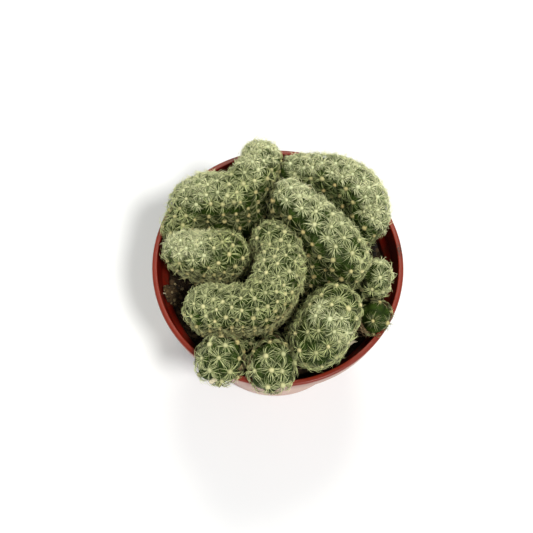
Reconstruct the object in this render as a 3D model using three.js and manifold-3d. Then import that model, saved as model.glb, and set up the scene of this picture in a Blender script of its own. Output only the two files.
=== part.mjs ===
// A potted brain cactus: a crested cactus of eleven lobes growing in a small plastic nursery pot.
// Millimetres, +Z up, the viewer stands at -Y. The origin is the middle of the pot's flat underside.
import * as THREE from "three";
import Module from "manifold-3d";

const wasm = await Module();
wasm.setup();

// Pot
const POT_HEIGHT = 70;
const POT_SIDES = 48;
const RIM_OUTER_RADIUS = 42.5;
const RIM_INNER_RADIUS = 40.6;
const COLLAR_BOTTOM = 60.5;
const COLLAR_RADIUS = 41.5;
const BODY_TOP_RADIUS = 39.2;
const BASE_RADIUS = 29.5;
const FLOOR_THICKNESS = 1.6;
const WALL = 1.2;
const STEP_BOTTOM = 59.4;
const STEP_TOP = 61.6;
const STEP_RADIUS = 39.7;
const DRAIN_COUNT = 6;
const DRAIN_RADIUS = 2.6;
const DRAIN_CIRCLE = 20;

// Soil
const SOIL_TOP = 57;
const SOIL_LUMP = 0.45;
const SOIL_SIDES = 24;
const SOIL_RINGS = [7, 14, 21, 28, 33];
const GAP = 0.3;

// Growth of the lobes
const CREST_SPACING = 6.4;
const HEAD_SPACING = 5.4;
const OFFSET_SPACING = 4.8;
const ROW_RATIO = 0.87;
const JITTER = 0.12;
const SHOULDER_BASE = 59.2;
const FOOT_BOTTOM = 47;
const HOLE_CLEARANCE = 0.6;
const TUBERCLE_RISE = 0.6;
const VALLEY_DEPTH = 0.55;
const RELIEF_FROM = 62.5;
const SPINES_FROM = 65;
const LOBE_GAP = 0.55;
const RIM_GAP = 0.45;
const RIM_CUT = 0.38;

// Spines
const SPINE_COUNT = 6;
const SPINE_LENGTH = 3.4;
const SPINE_SHORTEST = 1.2;
const SPINE_LIFTS = [0.3, 0.5, 0.8, 1.15];
const AREOLE_RADIUS = 0.55;
const AREOLE_HEIGHT = 0.35;
const SPINE_CLEARANCE = 0.6;

// Every lobe is a fin that stands on a narrower foot. Each row holds one station along its ridge:
// ridge x, ridge y, height of the ridge, half thickness, foot x, foot y.
const LOBES = [
  {
    name: "crest_back_left",
    spacing: CREST_SPACING,
    footRadius: 3.4,
    neck: 8,
    stations: [
      [-34.2, 10.4, 79, 4.4, -26.5, 11.5],
      [-33.4, 14, 82, 5.0, -25.5, 13.5],
      [-30.3, 19, 85, 6.7, -23.5, 17],
      [-24.5, 20.7, 88, 7.3, -20, 18.8],
      [-18.2, 20.4, 89, 6.7, -16, 19],
      [-12, 22.4, 90, 6.1, -11.5, 21],
      [-7.5, 27.2, 90, 5.8, -7.5, 24.5],
      [-5.5, 33, 87, 5.8, -5.5, 28.5],
    ],
  },
  {
    name: "crest_left",
    spacing: CREST_SPACING,
    footRadius: 3.4,
    neck: 6,
    stations: [
      [-31.2, 1.8, 82, 5.7, -26.5, 1],
      [-25.4, 0.5, 84, 6.3, -22.5, 0.5],
      [-19.7, 0.2, 85, 6.6, -18, 0],
      [-16.7, 0.8, 84, 6.3, -15.5, 0.5],
    ],
  },
  {
    name: "crest_centre",
    spacing: CREST_SPACING,
    footRadius: 3.4,
    neck: 5,
    stations: [
      [-2.2, 2.6, 90, 5.2, -3, 1],
      [0.6, -2.3, 92, 6.4, -0.5, -3],
      [0.9, -8.3, 93, 6.7, -0.5, -8],
      [-1.6, -15, 93, 6.8, -2.5, -13],
      [-7.2, -19, 91, 6.5, -7.5, -16],
      [-14.7, -20.1, 89, 6.3, -14, -17],
      [-23.1, -19, 86, 6.7, -21, -16.5],
    ],
  },
  {
    name: "crest_back_right",
    spacing: CREST_SPACING,
    footRadius: 3.2,
    neck: 8,
    stations: [
      [5.9, 30, 83, 4.6, 5, 26],
      [13.3, 29, 86, 5.1, 12, 25.5],
      [20.5, 26.6, 88, 5.4, 18, 22.5],
      [26, 22.8, 88, 5.8, 22, 18.5],
      [29.8, 17.2, 87, 6.1, 24.5, 14],
      [31.4, 10.7, 83, 5.3, 25.5, 9.5],
    ],
  },
  {
    name: "crest_diagonal",
    spacing: CREST_SPACING,
    footRadius: 3.4,
    neck: 5,
    stations: [
      [3.6, 15.7, 93, 5.4, 5, 13.5],
      [8, 11.4, 94, 6.2, 8.5, 10],
      [12.8, 6.2, 94, 6.7, 12.5, 5.5],
      [18.2, 1.3, 92, 7.0, 16.5, 1.5],
      [22.4, -2.8, 89, 6.6, 19, -1],
    ],
  },
  {
    name: "crest_front_right",
    spacing: CREST_SPACING,
    footRadius: 3.8,
    neck: 7,
    stations: [
      [18.1, -19.9, 87, 7.6, 15.5, -17.5],
      [15.3, -24.9, 88, 8.0, 14, -21.5],
      [12.6, -29.2, 85, 7.9, 12, -25],
    ],
  },
  {
    name: "head_front_left",
    spacing: HEAD_SPACING,
    footRadius: 3.2,
    neck: 17,
    stations: [
      [-18.6, -34.6, 83, 6.5, -15.2, -26.2],
      [-19.3, -35.8, 82, 6.5, -15.6, -26.9],
    ],
  },
  {
    name: "head_front_middle",
    spacing: HEAD_SPACING,
    footRadius: 3.2,
    neck: 17,
    stations: [
      [-1.7, -36.2, 83, 6.1, -1.5, -26],
      [-1.8, -38.7, 81, 6.2, -1.5, -27.3],
    ],
  },
  {
    name: "head_right_low",
    spacing: OFFSET_SPACING,
    footRadius: 3.0,
    neck: 10,
    stations: [
      [32.3, -18.4, 75, 4.4, 26.5, -14.8],
      [32.3, -20, 75, 4.4, 26.5, -15.8],
    ],
  },
  {
    name: "head_right",
    spacing: OFFSET_SPACING,
    footRadius: 3.0,
    neck: 10,
    stations: [
      [33.7, -6.2, 80, 4.1, 27.8, -4.6],
      [33.3, -8.4, 79, 4.3, 27.6, -6],
    ],
  },
  {
    name: "head_small",
    spacing: OFFSET_SPACING,
    footRadius: 2.2,
    neck: 7,
    stations: [
      [-10.4, -30, 72, 2.8, -8.4, -25.2],
      [-9.9, -29.4, 72, 2.8, -8.2, -24.6],
    ],
  },
];

// A dry husk lies on the soil by the front right crest
const HUSK_CENTRE = [24.4, -24.6];
const HUSK_HALF_LENGTH = 2.2;
const HUSK_HALF_WIDTH = 0.75;
const HUSK_THICKNESS = 0.45;
const HUSK_ARCH = 0.7;
const HUSK_HEADING = 0.25;

const COLOURS = {
  pot: 0x9a4d38,
  soil: 0x2e2118,
  husk: 0xc9b184,
  skin: 0x6f8a5a,
};

// Small helpers

function seededRandom(seed) {
  let state = seed >>> 0;
  return () => {
    state = (state + 0x6d2b79f5) >>> 0;
    let t = state;
    t = Math.imul(t ^ (t >>> 15), t | 1);
    t ^= t + Math.imul(t ^ (t >>> 7), t | 61);
    return ((t ^ (t >>> 14)) >>> 0) / 4294967296;
  };
}

function smoothstep(a, b, x) {
  const t = Math.min(1, Math.max(0, (x - a) / (b - a)));
  return t * t * (3 - 2 * t);
}

function vec(x, y, z) {
  return new THREE.Vector3(x, y, z);
}

class Shell {
  constructor() {
    this.points = [];
    this.faces = [];
  }

  point(p) {
    this.points.push(p.clone());
    return this.points.length - 1;
  }

  face(a, b, c) {
    this.faces.push([a, b, c]);
  }

  solid() {
    const mesh = new wasm.Mesh({
      numProp: 3,
      vertProperties: new Float32Array(this.points.flatMap((p) => [p.x, p.y, p.z])),
      triVerts: new Uint32Array(this.faces.flat()),
    });
    return new wasm.Manifold(mesh);
  }
}

function meshFromSolid(name, solid, colour) {
  const data = solid.getMesh();
  const geometry = new THREE.BufferGeometry();
  geometry.setAttribute("position", new THREE.Float32BufferAttribute(data.vertProperties, 3));
  geometry.setIndex(Array.from(data.triVerts));
  geometry.computeVertexNormals();
  const material = new THREE.MeshStandardMaterial({ color: colour, roughness: 0.75 });
  const mesh = new THREE.Mesh(geometry, material);
  mesh.name = name;
  return mesh;
}

// Turned body: the profile runs from the axis below, out and up, and back to the axis above
function turned(profile, sides) {
  const shell = new Shell();
  const rings = profile.map(([radius, z]) => {
    if (radius === 0) return [shell.point(vec(0, 0, z))];
    const ring = [];
    for (let i = 0; i < sides; i += 1) {
      const angle = (2 * Math.PI * i) / sides;
      ring.push(shell.point(vec(radius * Math.cos(angle), radius * Math.sin(angle), z)));
    }
    return ring;
  });
  for (let k = 0; k + 1 < rings.length; k += 1) {
    const low = rings[k];
    const high = rings[k + 1];
    for (let i = 0; i < sides; i += 1) {
      const j = (i + 1) % sides;
      if (low.length === 1) {
        shell.face(low[0], high[j], high[i]);
      } else if (high.length === 1) {
        shell.face(low[i], low[j], high[0]);
      } else {
        shell.face(low[i], low[j], high[j]);
        shell.face(low[i], high[j], high[i]);
      }
    }
  }
  return shell.solid();
}

function wallInnerRadius(z) {
  if (z >= STEP_TOP) {
    const t = (z - STEP_TOP) / (POT_HEIGHT - 0.8 - STEP_TOP);
    return STEP_RADIUS + Math.min(1, t) * (RIM_INNER_RADIUS - STEP_RADIUS);
  }
  if (z >= STEP_BOTTOM) {
    const low = wallInnerRadius(STEP_BOTTOM - 1e-6);
    return low + ((z - STEP_BOTTOM) / (STEP_TOP - STEP_BOTTOM)) * (STEP_RADIUS - low);
  }
  return BASE_RADIUS + (z / COLLAR_BOTTOM) * (BODY_TOP_RADIUS - BASE_RADIUS) - WALL;
}

function wallOuterRadius(z) {
  if (z >= COLLAR_BOTTOM) return RIM_OUTER_RADIUS;
  return BASE_RADIUS + (z / COLLAR_BOTTOM) * (BODY_TOP_RADIUS - BASE_RADIUS);
}

// Distance from a point to the upper part of the pot, negative inside the plastic
function potDistance(p) {
  const radius = Math.hypot(p.x, p.y);
  if (p.z > POT_HEIGHT) {
    const beside = Math.max(0, radius - RIM_OUTER_RADIUS, RIM_INNER_RADIUS - radius);
    return Math.hypot(beside, p.z - POT_HEIGHT);
  }
  const inside = wallInnerRadius(p.z) - radius;
  if (inside >= 0) return inside;
  const outside = radius - wallOuterRadius(p.z);
  if (outside >= 0) return outside;
  return Math.max(inside, outside, p.z - POT_HEIGHT);
}

function buildPot() {
  const profile = [
    [0, 0],
    [BASE_RADIUS - 1.2, 0],
    [BASE_RADIUS - 0.3, 0.3],
    [BASE_RADIUS + 0.15, 1.3],
    [BODY_TOP_RADIUS, COLLAR_BOTTOM],
    [COLLAR_RADIUS - 0.3, COLLAR_BOTTOM],
    [COLLAR_RADIUS, COLLAR_BOTTOM + 0.4],
    [RIM_OUTER_RADIUS - 0.15, POT_HEIGHT - 1.1],
    [RIM_OUTER_RADIUS, POT_HEIGHT - 0.7],
    [RIM_OUTER_RADIUS - 0.3, POT_HEIGHT - 0.15],
    [RIM_OUTER_RADIUS - 0.8, POT_HEIGHT],
    [RIM_INNER_RADIUS + 0.4, POT_HEIGHT],
    [RIM_INNER_RADIUS, POT_HEIGHT - 0.5],
    [STEP_RADIUS, STEP_TOP],
    [wallInnerRadius(STEP_BOTTOM), STEP_BOTTOM],
    [wallInnerRadius(FLOOR_THICKNESS + 0.8), FLOOR_THICKNESS + 0.8],
    [wallInnerRadius(FLOOR_THICKNESS) - 0.8, FLOOR_THICKNESS],
    [0, FLOOR_THICKNESS],
  ];
  let pot = turned(profile, POT_SIDES);
  for (let i = 0; i < DRAIN_COUNT; i += 1) {
    const angle = (2 * Math.PI * (i + 0.5)) / DRAIN_COUNT;
    const x = DRAIN_CIRCLE * Math.cos(angle);
    const y = DRAIN_CIRCLE * Math.sin(angle);
    const drain = turned(
      [
        [0, -1],
        [DRAIN_RADIUS, -1],
        [DRAIN_RADIUS, FLOOR_THICKNESS + 1],
        [0, FLOOR_THICKNESS + 1],
      ],
      10,
    ).translate([x, y, 0]);
    pot = pot.subtract(drain);
  }
  return pot;
}

// Ridge of a lobe, drawn through its stations as a smooth curve

function stationAt(stations, t) {
  const last = stations.length - 1;
  const i = Math.min(last - 1, Math.max(0, Math.floor(t)));
  const u = t - i;
  const at = (k) => stations[Math.min(last, Math.max(0, k))];
  const a = i > 0 ? at(i - 1) : at(0).map((v, k) => 2 * v - at(1)[k]);
  const b = at(i);
  const c = at(i + 1);
  const d = i + 2 <= last ? at(i + 2) : at(last).map((v, k) => 2 * v - at(last - 1)[k]);
  return b.map((_, k) => {
    const linear = c[k] - a[k];
    const square = 2 * a[k] - 5 * b[k] + 4 * c[k] - d[k];
    const cube = 3 * b[k] - a[k] - 3 * c[k] + d[k];
    return 0.5 * (2 * b[k] + linear * u + square * u * u + cube * u * u * u);
  });
}

class Fin {
  constructor(lobe) {
    this.lobe = lobe;
    this.steps = lobe.stations.length > 2 ? 48 : 6;
    this.line = [];
    for (let i = 0; i <= this.steps; i += 1) {
      this.line.push(stationAt(lobe.stations, ((lobe.stations.length - 1) * i) / this.steps));
    }
    this.tangents = this.line.map((_, i) => {
      const a = this.line[Math.max(0, i - 1)];
      const b = this.line[Math.min(this.steps, i + 1)];
      const length = Math.hypot(b[0] - a[0], b[1] - a[1]);
      return [(b[0] - a[0]) / length, (b[1] - a[1]) / length];
    });
    this.length = 0;
    for (let i = 1; i <= this.steps; i += 1) {
      const a = this.line[i - 1];
      const b = this.line[i];
      this.length += Math.hypot(b[0] - a[0], b[1] - a[1], b[2] - a[2]);
    }
    this.meanRadius = this.line.reduce((sum, row) => sum + row[3], 0) / this.line.length;
    this.meanCentre = this.line.reduce((sum, row) => sum + row[2] - row[3], 0) / this.line.length;
    this.buildLoop();
    this.buildCore();
  }

  // The loop runs once around the fin, anticlockwise from above, starting behind the first station
  buildLoop() {
    const capSteps = 12;
    this.loop = [];
    const add = (index, x, y) => this.loop.push({ index, x, y });
    const cap = (index, from, to) => {
      const [tx, ty] = this.tangents[index];
      for (let i = 0; i <= capSteps; i += 1) {
        const angle = from + ((to - from) * i) / capSteps;
        const c = Math.cos(angle);
        const s = Math.sin(angle);
        add(index, tx * c - ty * s, tx * s + ty * c);
      }
    };
    cap(0, Math.PI, 1.5 * Math.PI);
    this.rightStart = this.loop.length - 1;
    for (let i = 1; i <= this.steps; i += 1) add(i, this.tangents[i][1], -this.tangents[i][0]);
    this.rightEnd = this.loop.length - 1;
    cap(this.steps, -0.5 * Math.PI, 0.5 * Math.PI);
    this.leftStart = this.loop.length - 1;
    for (let i = this.steps - 1; i >= 0; i -= 1) add(i, -this.tangents[i][1], this.tangents[i][0]);
    this.leftEnd = this.loop.length - 1;
    cap(0, 0.5 * Math.PI, Math.PI);
    const spots = this.loop.map((sample) => {
      const row = this.line[sample.index];
      return [row[0] + sample.x * row[3], row[1] + sample.y * row[3]];
    });
    let total = 0;
    this.loop.forEach((sample, i) => {
      if (i > 0) {
        total += Math.hypot(spots[i][0] - spots[i - 1][0], spots[i][1] - spots[i - 1][1]);
      }
      sample.turn = total;
    });
    for (const sample of this.loop) sample.turn /= total;
  }

  loopAt(turn) {
    const t = turn - Math.floor(turn);
    let low = 0;
    let high = this.loop.length - 1;
    while (high - low > 1) {
      const middle = (low + high) >> 1;
      if (this.loop[middle].turn <= t) low = middle;
      else high = middle;
    }
    const a = this.loop[low];
    const b = this.loop[high];
    const u = b.turn > a.turn ? (t - a.turn) / (b.turn - a.turn) : 0;
    const x = a.x + (b.x - a.x) * u;
    const y = a.y + (b.y - a.y) * u;
    const length = Math.hypot(x, y);
    return { index: a.index + (b.index - a.index) * u, x: x / length, y: y / length };
  }

  rowAt(index) {
    const i = Math.min(this.steps - 1, Math.floor(index));
    const u = index - i;
    return this.line[i].map((value, k) => value + (this.line[i + 1][k] - value) * u);
  }

  // Centre and half thickness of the fin at a height
  sectionAt(row, z) {
    const [x, y, top, radius, footX, footY] = row;
    const centre = top - radius;
    const lean = 1 - smoothstep(SHOULDER_BASE, centre, z);
    const neckTop = Math.min(centre, SHOULDER_BASE + this.lobe.neck);
    const width = smoothstep(SHOULDER_BASE, neckTop, z);
    return {
      x: x + (footX - x) * lean,
      y: y + (footY - y) * lean,
      half: this.lobe.footRadius + (radius - this.lobe.footRadius) * width,
    };
  }

  // level 0 is the ridge, 1 the widest height, 2 the shoulder above the soil, 3 the buried foot
  surface(turn, level, extra = 0) {
    const around = this.loopAt(turn);
    const row = this.rowAt(around.index);
    const centre = row[2] - row[3];
    if (level <= 1) {
      const angle = (level * Math.PI) / 2;
      const flat = Math.sin(angle);
      const up = Math.cos(angle);
      const reach = row[3] + extra;
      return {
        p: vec(row[0] + around.x * reach * flat, row[1] + around.y * reach * flat, centre + reach * up),
        n: vec(around.x * flat, around.y * flat, up),
      };
    }
    const fraction = Math.min(1, level - 1);
    const z = level <= 2
      ? centre + (SHOULDER_BASE - centre) * fraction
      : SHOULDER_BASE + (FOOT_BOTTOM - SHOULDER_BASE) * (level - 2);
    const section = this.sectionAt(row, z);
    const below = this.sectionAt(row, z - 0.4);
    const reach = section.half + extra;
    const p = vec(section.x + around.x * reach, section.y + around.y * reach, z);
    const shift = (section.x - below.x) * around.x + (section.y - below.y) * around.y;
    const slope = (shift + section.half - below.half) / 0.4;
    const n = vec(around.x, around.y, level <= 2 ? -slope : 0).normalize();
    return { p, n };
  }

  // Balls that fill the fin, for distances to it
  buildCore() {
    this.core = [];
    for (let i = 0; i <= this.steps; i += this.steps > 10 ? 2 : 3) {
      const row = this.line[i];
      const centre = row[2] - row[3];
      for (let z = centre; z > SHOULDER_BASE - 6; z -= 1.6) {
        const section = this.sectionAt(row, z);
        this.core.push([section.x, section.y, z, section.half]);
      }
    }
    this.reach = [vec(1e9, 1e9, 1e9), vec(-1e9, -1e9, -1e9)];
    for (const [x, y, z, half] of this.core) {
      this.reach[0].min(vec(x - half, y - half, z - half));
      this.reach[1].max(vec(x + half, y + half, z + half));
    }
  }

  distance(p) {
    let best = Infinity;
    for (const [x, y, z, half] of this.core) {
      const d = Math.hypot(p.x - x, p.y - y, p.z - z) - half;
      if (d < best) best = d;
    }
    return best;
  }

  near(p, margin) {
    const [low, high] = this.reach;
    return (
      p.x > low.x - margin && p.x < high.x + margin &&
      p.y > low.y - margin && p.y < high.y + margin &&
      p.z > low.z - margin && p.z < high.z + margin
    );
  }
}

const fins = LOBES.map((lobe) => new Fin(lobe));

function neighbourDistance(fin, p) {
  let best = Infinity;
  for (const other of fins) {
    if (other !== fin && other.near(p, 9)) best = Math.min(best, other.distance(p));
  }
  return best;
}

// A point of the skin gives way to the neighbouring lobes and to the pot
function giveWay(fin, p, n) {
  const inward = n.clone().negate();
  for (let i = 0; i < 40; i += 1) {
    if (neighbourDistance(fin, p) - fin.distance(p) >= LOBE_GAP) break;
    p.addScaledVector(inward, 0.12);
  }
  for (let i = 0; i < 60 && potDistance(p) < RIM_GAP; i += 1) {
    const radius = Math.hypot(p.x, p.y);
    const sideways = radius - (RIM_INNER_RADIUS - RIM_GAP);
    const upward = POT_HEIGHT + RIM_GAP - p.z;
    if (upward < sideways) p.z += 0.12;
    else p.multiply(vec(1 - 0.12 / radius, 1 - 0.12 / radius, 1));
  }
  return p;
}

// Coarse net of a lobe: one corner per tubercle, in staggered rows from the ridge to the foot
function tubercleNet(fin, random) {
  const corners = [];
  const triangles = [];
  const addCorner = (turn, level, jitter) => {
    const t = turn + jitter * (random() - 0.5);
    const { p, n } = fin.surface(t, level);
    corners.push({ turn: t, level, p, n });
    return corners.length - 1;
  };

  const spacing = fin.lobe.spacing;
  const rowSpacing = spacing * ROW_RATIO;
  const ridgeCount = fin.length < spacing ? 1 : Math.round(fin.length / spacing) + 1;
  const rings = [];
  const ridge = [];
  const farTurn = (fin.loop[fin.rightEnd].turn + fin.loop[fin.leftStart].turn) / 2;
  const turnOn = (from, to, fraction) => {
    const at = from + (to - from) * fraction;
    const i = Math.min(fin.loop.length - 2, Math.floor(at));
    return fin.loop[i].turn + (fin.loop[i + 1].turn - fin.loop[i].turn) * (at - i);
  };
  const ridgeIds = [];
  for (let i = 0; i < ridgeCount; i += 1) {
    const fraction = ridgeCount === 1 ? 0.5 : i / (ridgeCount - 1);
    const turn = turnOn(fin.rightStart, fin.rightEnd, fraction);
    ridgeIds.push(addCorner(turn, 0, 0));
  }
  if (ridgeCount === 1) {
    ridge.push({ id: ridgeIds[0], turn: 0 });
  } else {
    for (let i = 0; i < ridgeCount; i += 1) {
      const turn = turnOn(fin.rightStart, fin.rightEnd, i / (ridgeCount - 1));
      ridge.push({ id: ridgeIds[i], turn });
    }
    ridge[0].turn = 0;
    ridge[ridgeCount - 1].turn = farTurn;
    for (let i = ridgeCount - 2; i > 0; i -= 1) {
      const turn = turnOn(fin.leftEnd, fin.leftStart, i / (ridgeCount - 1));
      ridge.push({ id: ridgeIds[i], turn });
    }
  }
  rings.push(ridge);

  const ringAt = (level, phase, jitter) => {
    const turns = [];
    const places = [];
    const samples = 160;
    for (let i = 0; i <= samples; i += 1) {
      turns.push(i / samples);
      places.push(fin.surface(Math.min(i / samples, 0.999999), level).p);
    }
    const lengths = [0];
    for (let i = 1; i <= samples; i += 1) {
      lengths.push(lengths[i - 1] + places[i].distanceTo(places[i - 1]));
    }
    const total = lengths[samples];
    const number = Math.max(4, Math.round(total / spacing));
    const ring = [];
    for (let k = 0; k < number; k += 1) {
      const want = ((k + phase) / number) * total;
      let i = 0;
      while (lengths[i + 1] < want) i += 1;
      const turn = turns[i] + ((want - lengths[i]) / (lengths[i + 1] - lengths[i])) / samples;
      ring.push({ id: addCorner(turn, level, jitter / number), turn });
    }
    return ring;
  };

  const domeRows = Math.max(1, Math.round((fin.meanRadius * Math.PI) / 2 / rowSpacing));
  const flankRows = Math.max(2, Math.round((fin.meanCentre - SHOULDER_BASE) / rowSpacing));
  let parity = 1;
  for (let i = 1; i <= domeRows; i += 1) {
    rings.push(ringAt(i / domeRows, parity ? 0.5 : 0.02, JITTER));
    parity = 1 - parity;
  }
  for (let i = 1; i <= flankRows; i += 1) {
    rings.push(ringAt(1 + i / flankRows, parity ? 0.5 : 0.02, i < flankRows ? JITTER : 0));
    parity = 1 - parity;
  }
  const shoulder = rings[rings.length - 1];
  const foot = shoulder.map(({ turn }) => ({ id: addCorner(turn, 3, 0), turn }));
  rings.push(foot);

  const join = (upper, lower) => {
    let i = 0;
    let j = 0;
    const turnOf = (ring, k) => ring[k % ring.length].turn + Math.floor(k / ring.length);
    while (i < upper.length || j < lower.length) {
      const nextUpper = (turnOf(upper, i) + turnOf(upper, i + 1)) / 2;
      const nextLower = (turnOf(lower, j) + turnOf(lower, j + 1)) / 2;
      const upperLeft = upper.length > 1 && i < upper.length;
      const onUpper = upperLeft && (j >= lower.length || nextUpper < nextLower);
      const a = { id: upper[i % upper.length].id, turn: turnOf(upper, i) };
      const b = { id: lower[j % lower.length].id, turn: turnOf(lower, j) };
      if (onUpper) {
        const c = { id: upper[(i + 1) % upper.length].id, turn: turnOf(upper, i + 1) };
        triangles.push([a, b, c]);
        i += 1;
      } else {
        const c = { id: lower[(j + 1) % lower.length].id, turn: turnOf(lower, j + 1) };
        triangles.push([a, b, c]);
        j += 1;
      }
      if (upper.length === 1 && j >= lower.length) break;
    }
  };
  for (let k = 0; k + 1 < rings.length; k += 1) join(rings[k], rings[k + 1]);

  // Flat underside of the foot, closed along its middle line
  const middleCount = Math.max(1, Math.round(fin.length / 9));
  const middle = [];
  const middleIds = [];
  for (let i = 0; i <= middleCount; i += 1) {
    const row = fin.rowAt((fin.steps * i) / middleCount);
    corners.push({ turn: 0, level: 3, p: vec(row[4], row[5], FOOT_BOTTOM), n: vec(0, 0, -1) });
    middleIds.push(corners.length - 1);
    middle.push({ id: middleIds[i], turn: turnOn(fin.rightStart, fin.rightEnd, i / middleCount) });
  }
  middle[0].turn = 0;
  middle[middleCount].turn = farTurn;
  for (let i = middleCount - 1; i > 0; i -= 1) {
    middle.push({ id: middleIds[i], turn: turnOn(fin.leftEnd, fin.leftStart, i / middleCount) });
  }
  const before = triangles.length;
  fin.footTurns = foot.map(({ turn }) => turn);
  join(middle, foot);
  for (let k = before; k < triangles.length; k += 1) {
    const [a, b, c] = triangles[k];
    triangles[k] = [a, c, b];
  }
  return { corners, triangles };
}

function valleyOf(fin, corners, triangle) {
  let turnSum = 0;
  let turnCount = 0;
  let level = 0;
  const onRidge = triangle.filter(({ id }) => corners[id].level === 0);
  for (const { id, turn } of triangle) {
    level += corners[id].level / 3;
    if (corners[id].level > 0 || onRidge.length === 2) {
      turnSum += turn;
      turnCount += 1;
    }
  }
  const { p, n } = fin.surface(turnSum / turnCount, level);
  p.addScaledVector(n, -VALLEY_DEPTH);
  return giveWay(fin, p, n);
}

// Skin of a lobe: every tubercle is a low cone, every exposed one carries an areole with spines
function planLobe(fin, seed) {
  const random = seededRandom(seed);
  const { corners, triangles } = tubercleNet(fin, random);
  for (const corner of corners) {
    if (corner.level >= 2) continue;
    corner.p.addScaledVector(corner.n, corner.p.z > RELIEF_FROM ? TUBERCLE_RISE : 0);
    giveWay(fin, corner.p, corner.n);
  }
  const meanHeight = (t) => t.reduce((sum, { id }) => sum + corners[id].p.z / 3, 0);
  const valleys = triangles.map((t) => {
    const carved = t.every(({ id }) => corners[id].level < 1.95) && meanHeight(t) > RELIEF_FROM;
    return carved ? valleyOf(fin, corners, t) : null;
  });
  const owner = new Map();
  triangles.forEach((t, k) => {
    for (let e = 0; e < 3; e += 1) owner.set(`${t[e].id},${t[(e + 1) % 3].id}`, k);
  });

  // Loop of valleys around each corner
  const around = corners.map(() => null);
  triangles.forEach((t, k) => {
    for (const { id } of t) {
      if (around[id] === null) around[id] = { start: k, ring: null };
    }
  });
  corners.forEach((corner, id) => {
    if (corner.level >= 2) return;
    const ring = [];
    let k = around[id].start;
    for (let guard = 0; guard < 40; guard += 1) {
      ring.push(k);
      const t = triangles[k];
      const e = t.findIndex((c) => c.id === id);
      k = owner.get(`${id},${t[(e + 2) % 3].id}`);
      if (k === ring[0] || k === undefined) break;
    }
    around[id].ring = ring;
    const open = ring.every((index) => valleys[index] !== null);
    corner.areole = open && corner.p.z > SPINES_FROM;
    corner.ring = ring;
  });
  for (const corner of corners) {
    if (!corner.areole) continue;
    corner.tip = corner.p.clone().addScaledVector(corner.n, AREOLE_HEIGHT);
    const roomy = neighbourDistance(fin, corner.tip) > TUBERCLE_RISE + AREOLE_RADIUS + 0.5;
    if (!roomy || potDistance(corner.tip) < RIM_GAP + AREOLE_RADIUS) corner.areole = false;
  }
  return { fin, corners, triangles, valleys, owner, random };
}

function spineClear(plan, corner, tip, areoles) {
  const own = tip.distanceTo(corner.tip);
  for (const other of areoles) {
    if (other.corner === corner) continue;
    const margin = other.plan === plan ? 0.2 : SPINE_CLEARANCE;
    if (tip.distanceTo(other.corner.tip) < own + margin) return false;
  }
  for (const t of [0.5, 0.75, 1]) {
    const p = corner.tip.clone().lerp(tip, t);
    if (p.z < SHOULDER_BASE + 0.5 || potDistance(p) < RIM_GAP) return false;
    if (plan.fin.distance(p) < 0.3) return false;
    if (neighbourDistance(plan.fin, p) < TUBERCLE_RISE + 0.4) return false;
  }
  return true;
}

function growLobe(plan, allAreoles) {
  const { fin, corners, triangles, valleys, owner, random } = plan;
  const shell = new Shell();
  const cornerIds = corners.map((corner) => (corner.areole ? -1 : shell.point(corner.p)));
  const valleyIds = valleys.map((p) => (p ? shell.point(p) : -1));
  triangles.forEach((t, k) => {
    if (valleys[k] === null) {
      shell.face(...t.map(({ id }) => cornerIds[id]));
      return;
    }
    for (let e = 0; e < 3; e += 1) {
      const u = t[e].id;
      const w = t[(e + 1) % 3].id;
      const other = owner.get(`${w},${u}`);
      if (valleys[other] === null) {
        shell.face(cornerIds[u], cornerIds[w], valleyIds[k]);
      } else if (!corners[u].areole) {
        shell.face(cornerIds[u], valleyIds[other], valleyIds[k]);
      }
    }
  });
  for (const corner of corners) {
    if (!corner.areole) continue;
    const { n, p } = corner;
    const near = allAreoles.filter((a) => a.corner.tip.distanceTo(corner.tip) < 9);
    const across = Math.abs(n.z) < 0.9 ? vec(0, 0, 1) : vec(1, 0, 0);
    const e1 = across.clone().addScaledVector(n, -across.dot(n)).normalize();
    const e2 = n.clone().cross(e1);
    const start = random() * 2 * Math.PI;
    const place = (angle, radius, lift) =>
      p.clone()
        .addScaledVector(e1, radius * Math.cos(angle))
        .addScaledVector(e2, radius * Math.sin(angle))
        .addScaledVector(n, lift);
    const angleOf = (q) => {
      const d = q.clone().sub(p);
      return Math.atan2(d.dot(e2), d.dot(e1));
    };
    const neck = [];
    for (let k = 0; k < SPINE_COUNT; k += 1) {
      const angle = start + (2 * Math.PI * k) / SPINE_COUNT;
      neck.push({ id: shell.point(place(angle, AREOLE_RADIUS, 0)), angle });
    }
    const outer = corner.ring.map((k) => ({ id: valleyIds[k], angle: angleOf(valleys[k]) }));
    bandAround(shell, outer, neck);
    const crown = shell.point(corner.tip);
    for (let k = 0; k < SPINE_COUNT; k += 1) {
      const a = neck[k].id;
      const b = neck[(k + 1) % SPINE_COUNT].id;
      const heading = start + (2 * Math.PI * (k + 0.5)) / SPINE_COUNT;
      const tip = findSpine(plan, corner, near, place, heading);
      if (tip === null) {
        shell.face(crown, a, b);
        continue;
      }
      const end = shell.point(tip);
      shell.face(crown, a, end);
      shell.face(crown, end, b);
      shell.face(a, b, end);
    }
  }
  return shell;
}

function findSpine(plan, corner, near, place, heading) {
  for (let length = SPINE_LENGTH; length >= SPINE_SHORTEST; length -= 0.35) {
    for (const lift of SPINE_LIFTS) {
      for (const swing of [0, 0.25, -0.25]) {
        const flat = AREOLE_RADIUS * 0.4 + length * Math.cos(lift);
        const tip = place(heading + swing, flat, AREOLE_HEIGHT * 0.7 + length * Math.sin(lift));
        if (spineClear(plan, corner, tip, near)) return tip;
      }
    }
  }
  return null;
}

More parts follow.
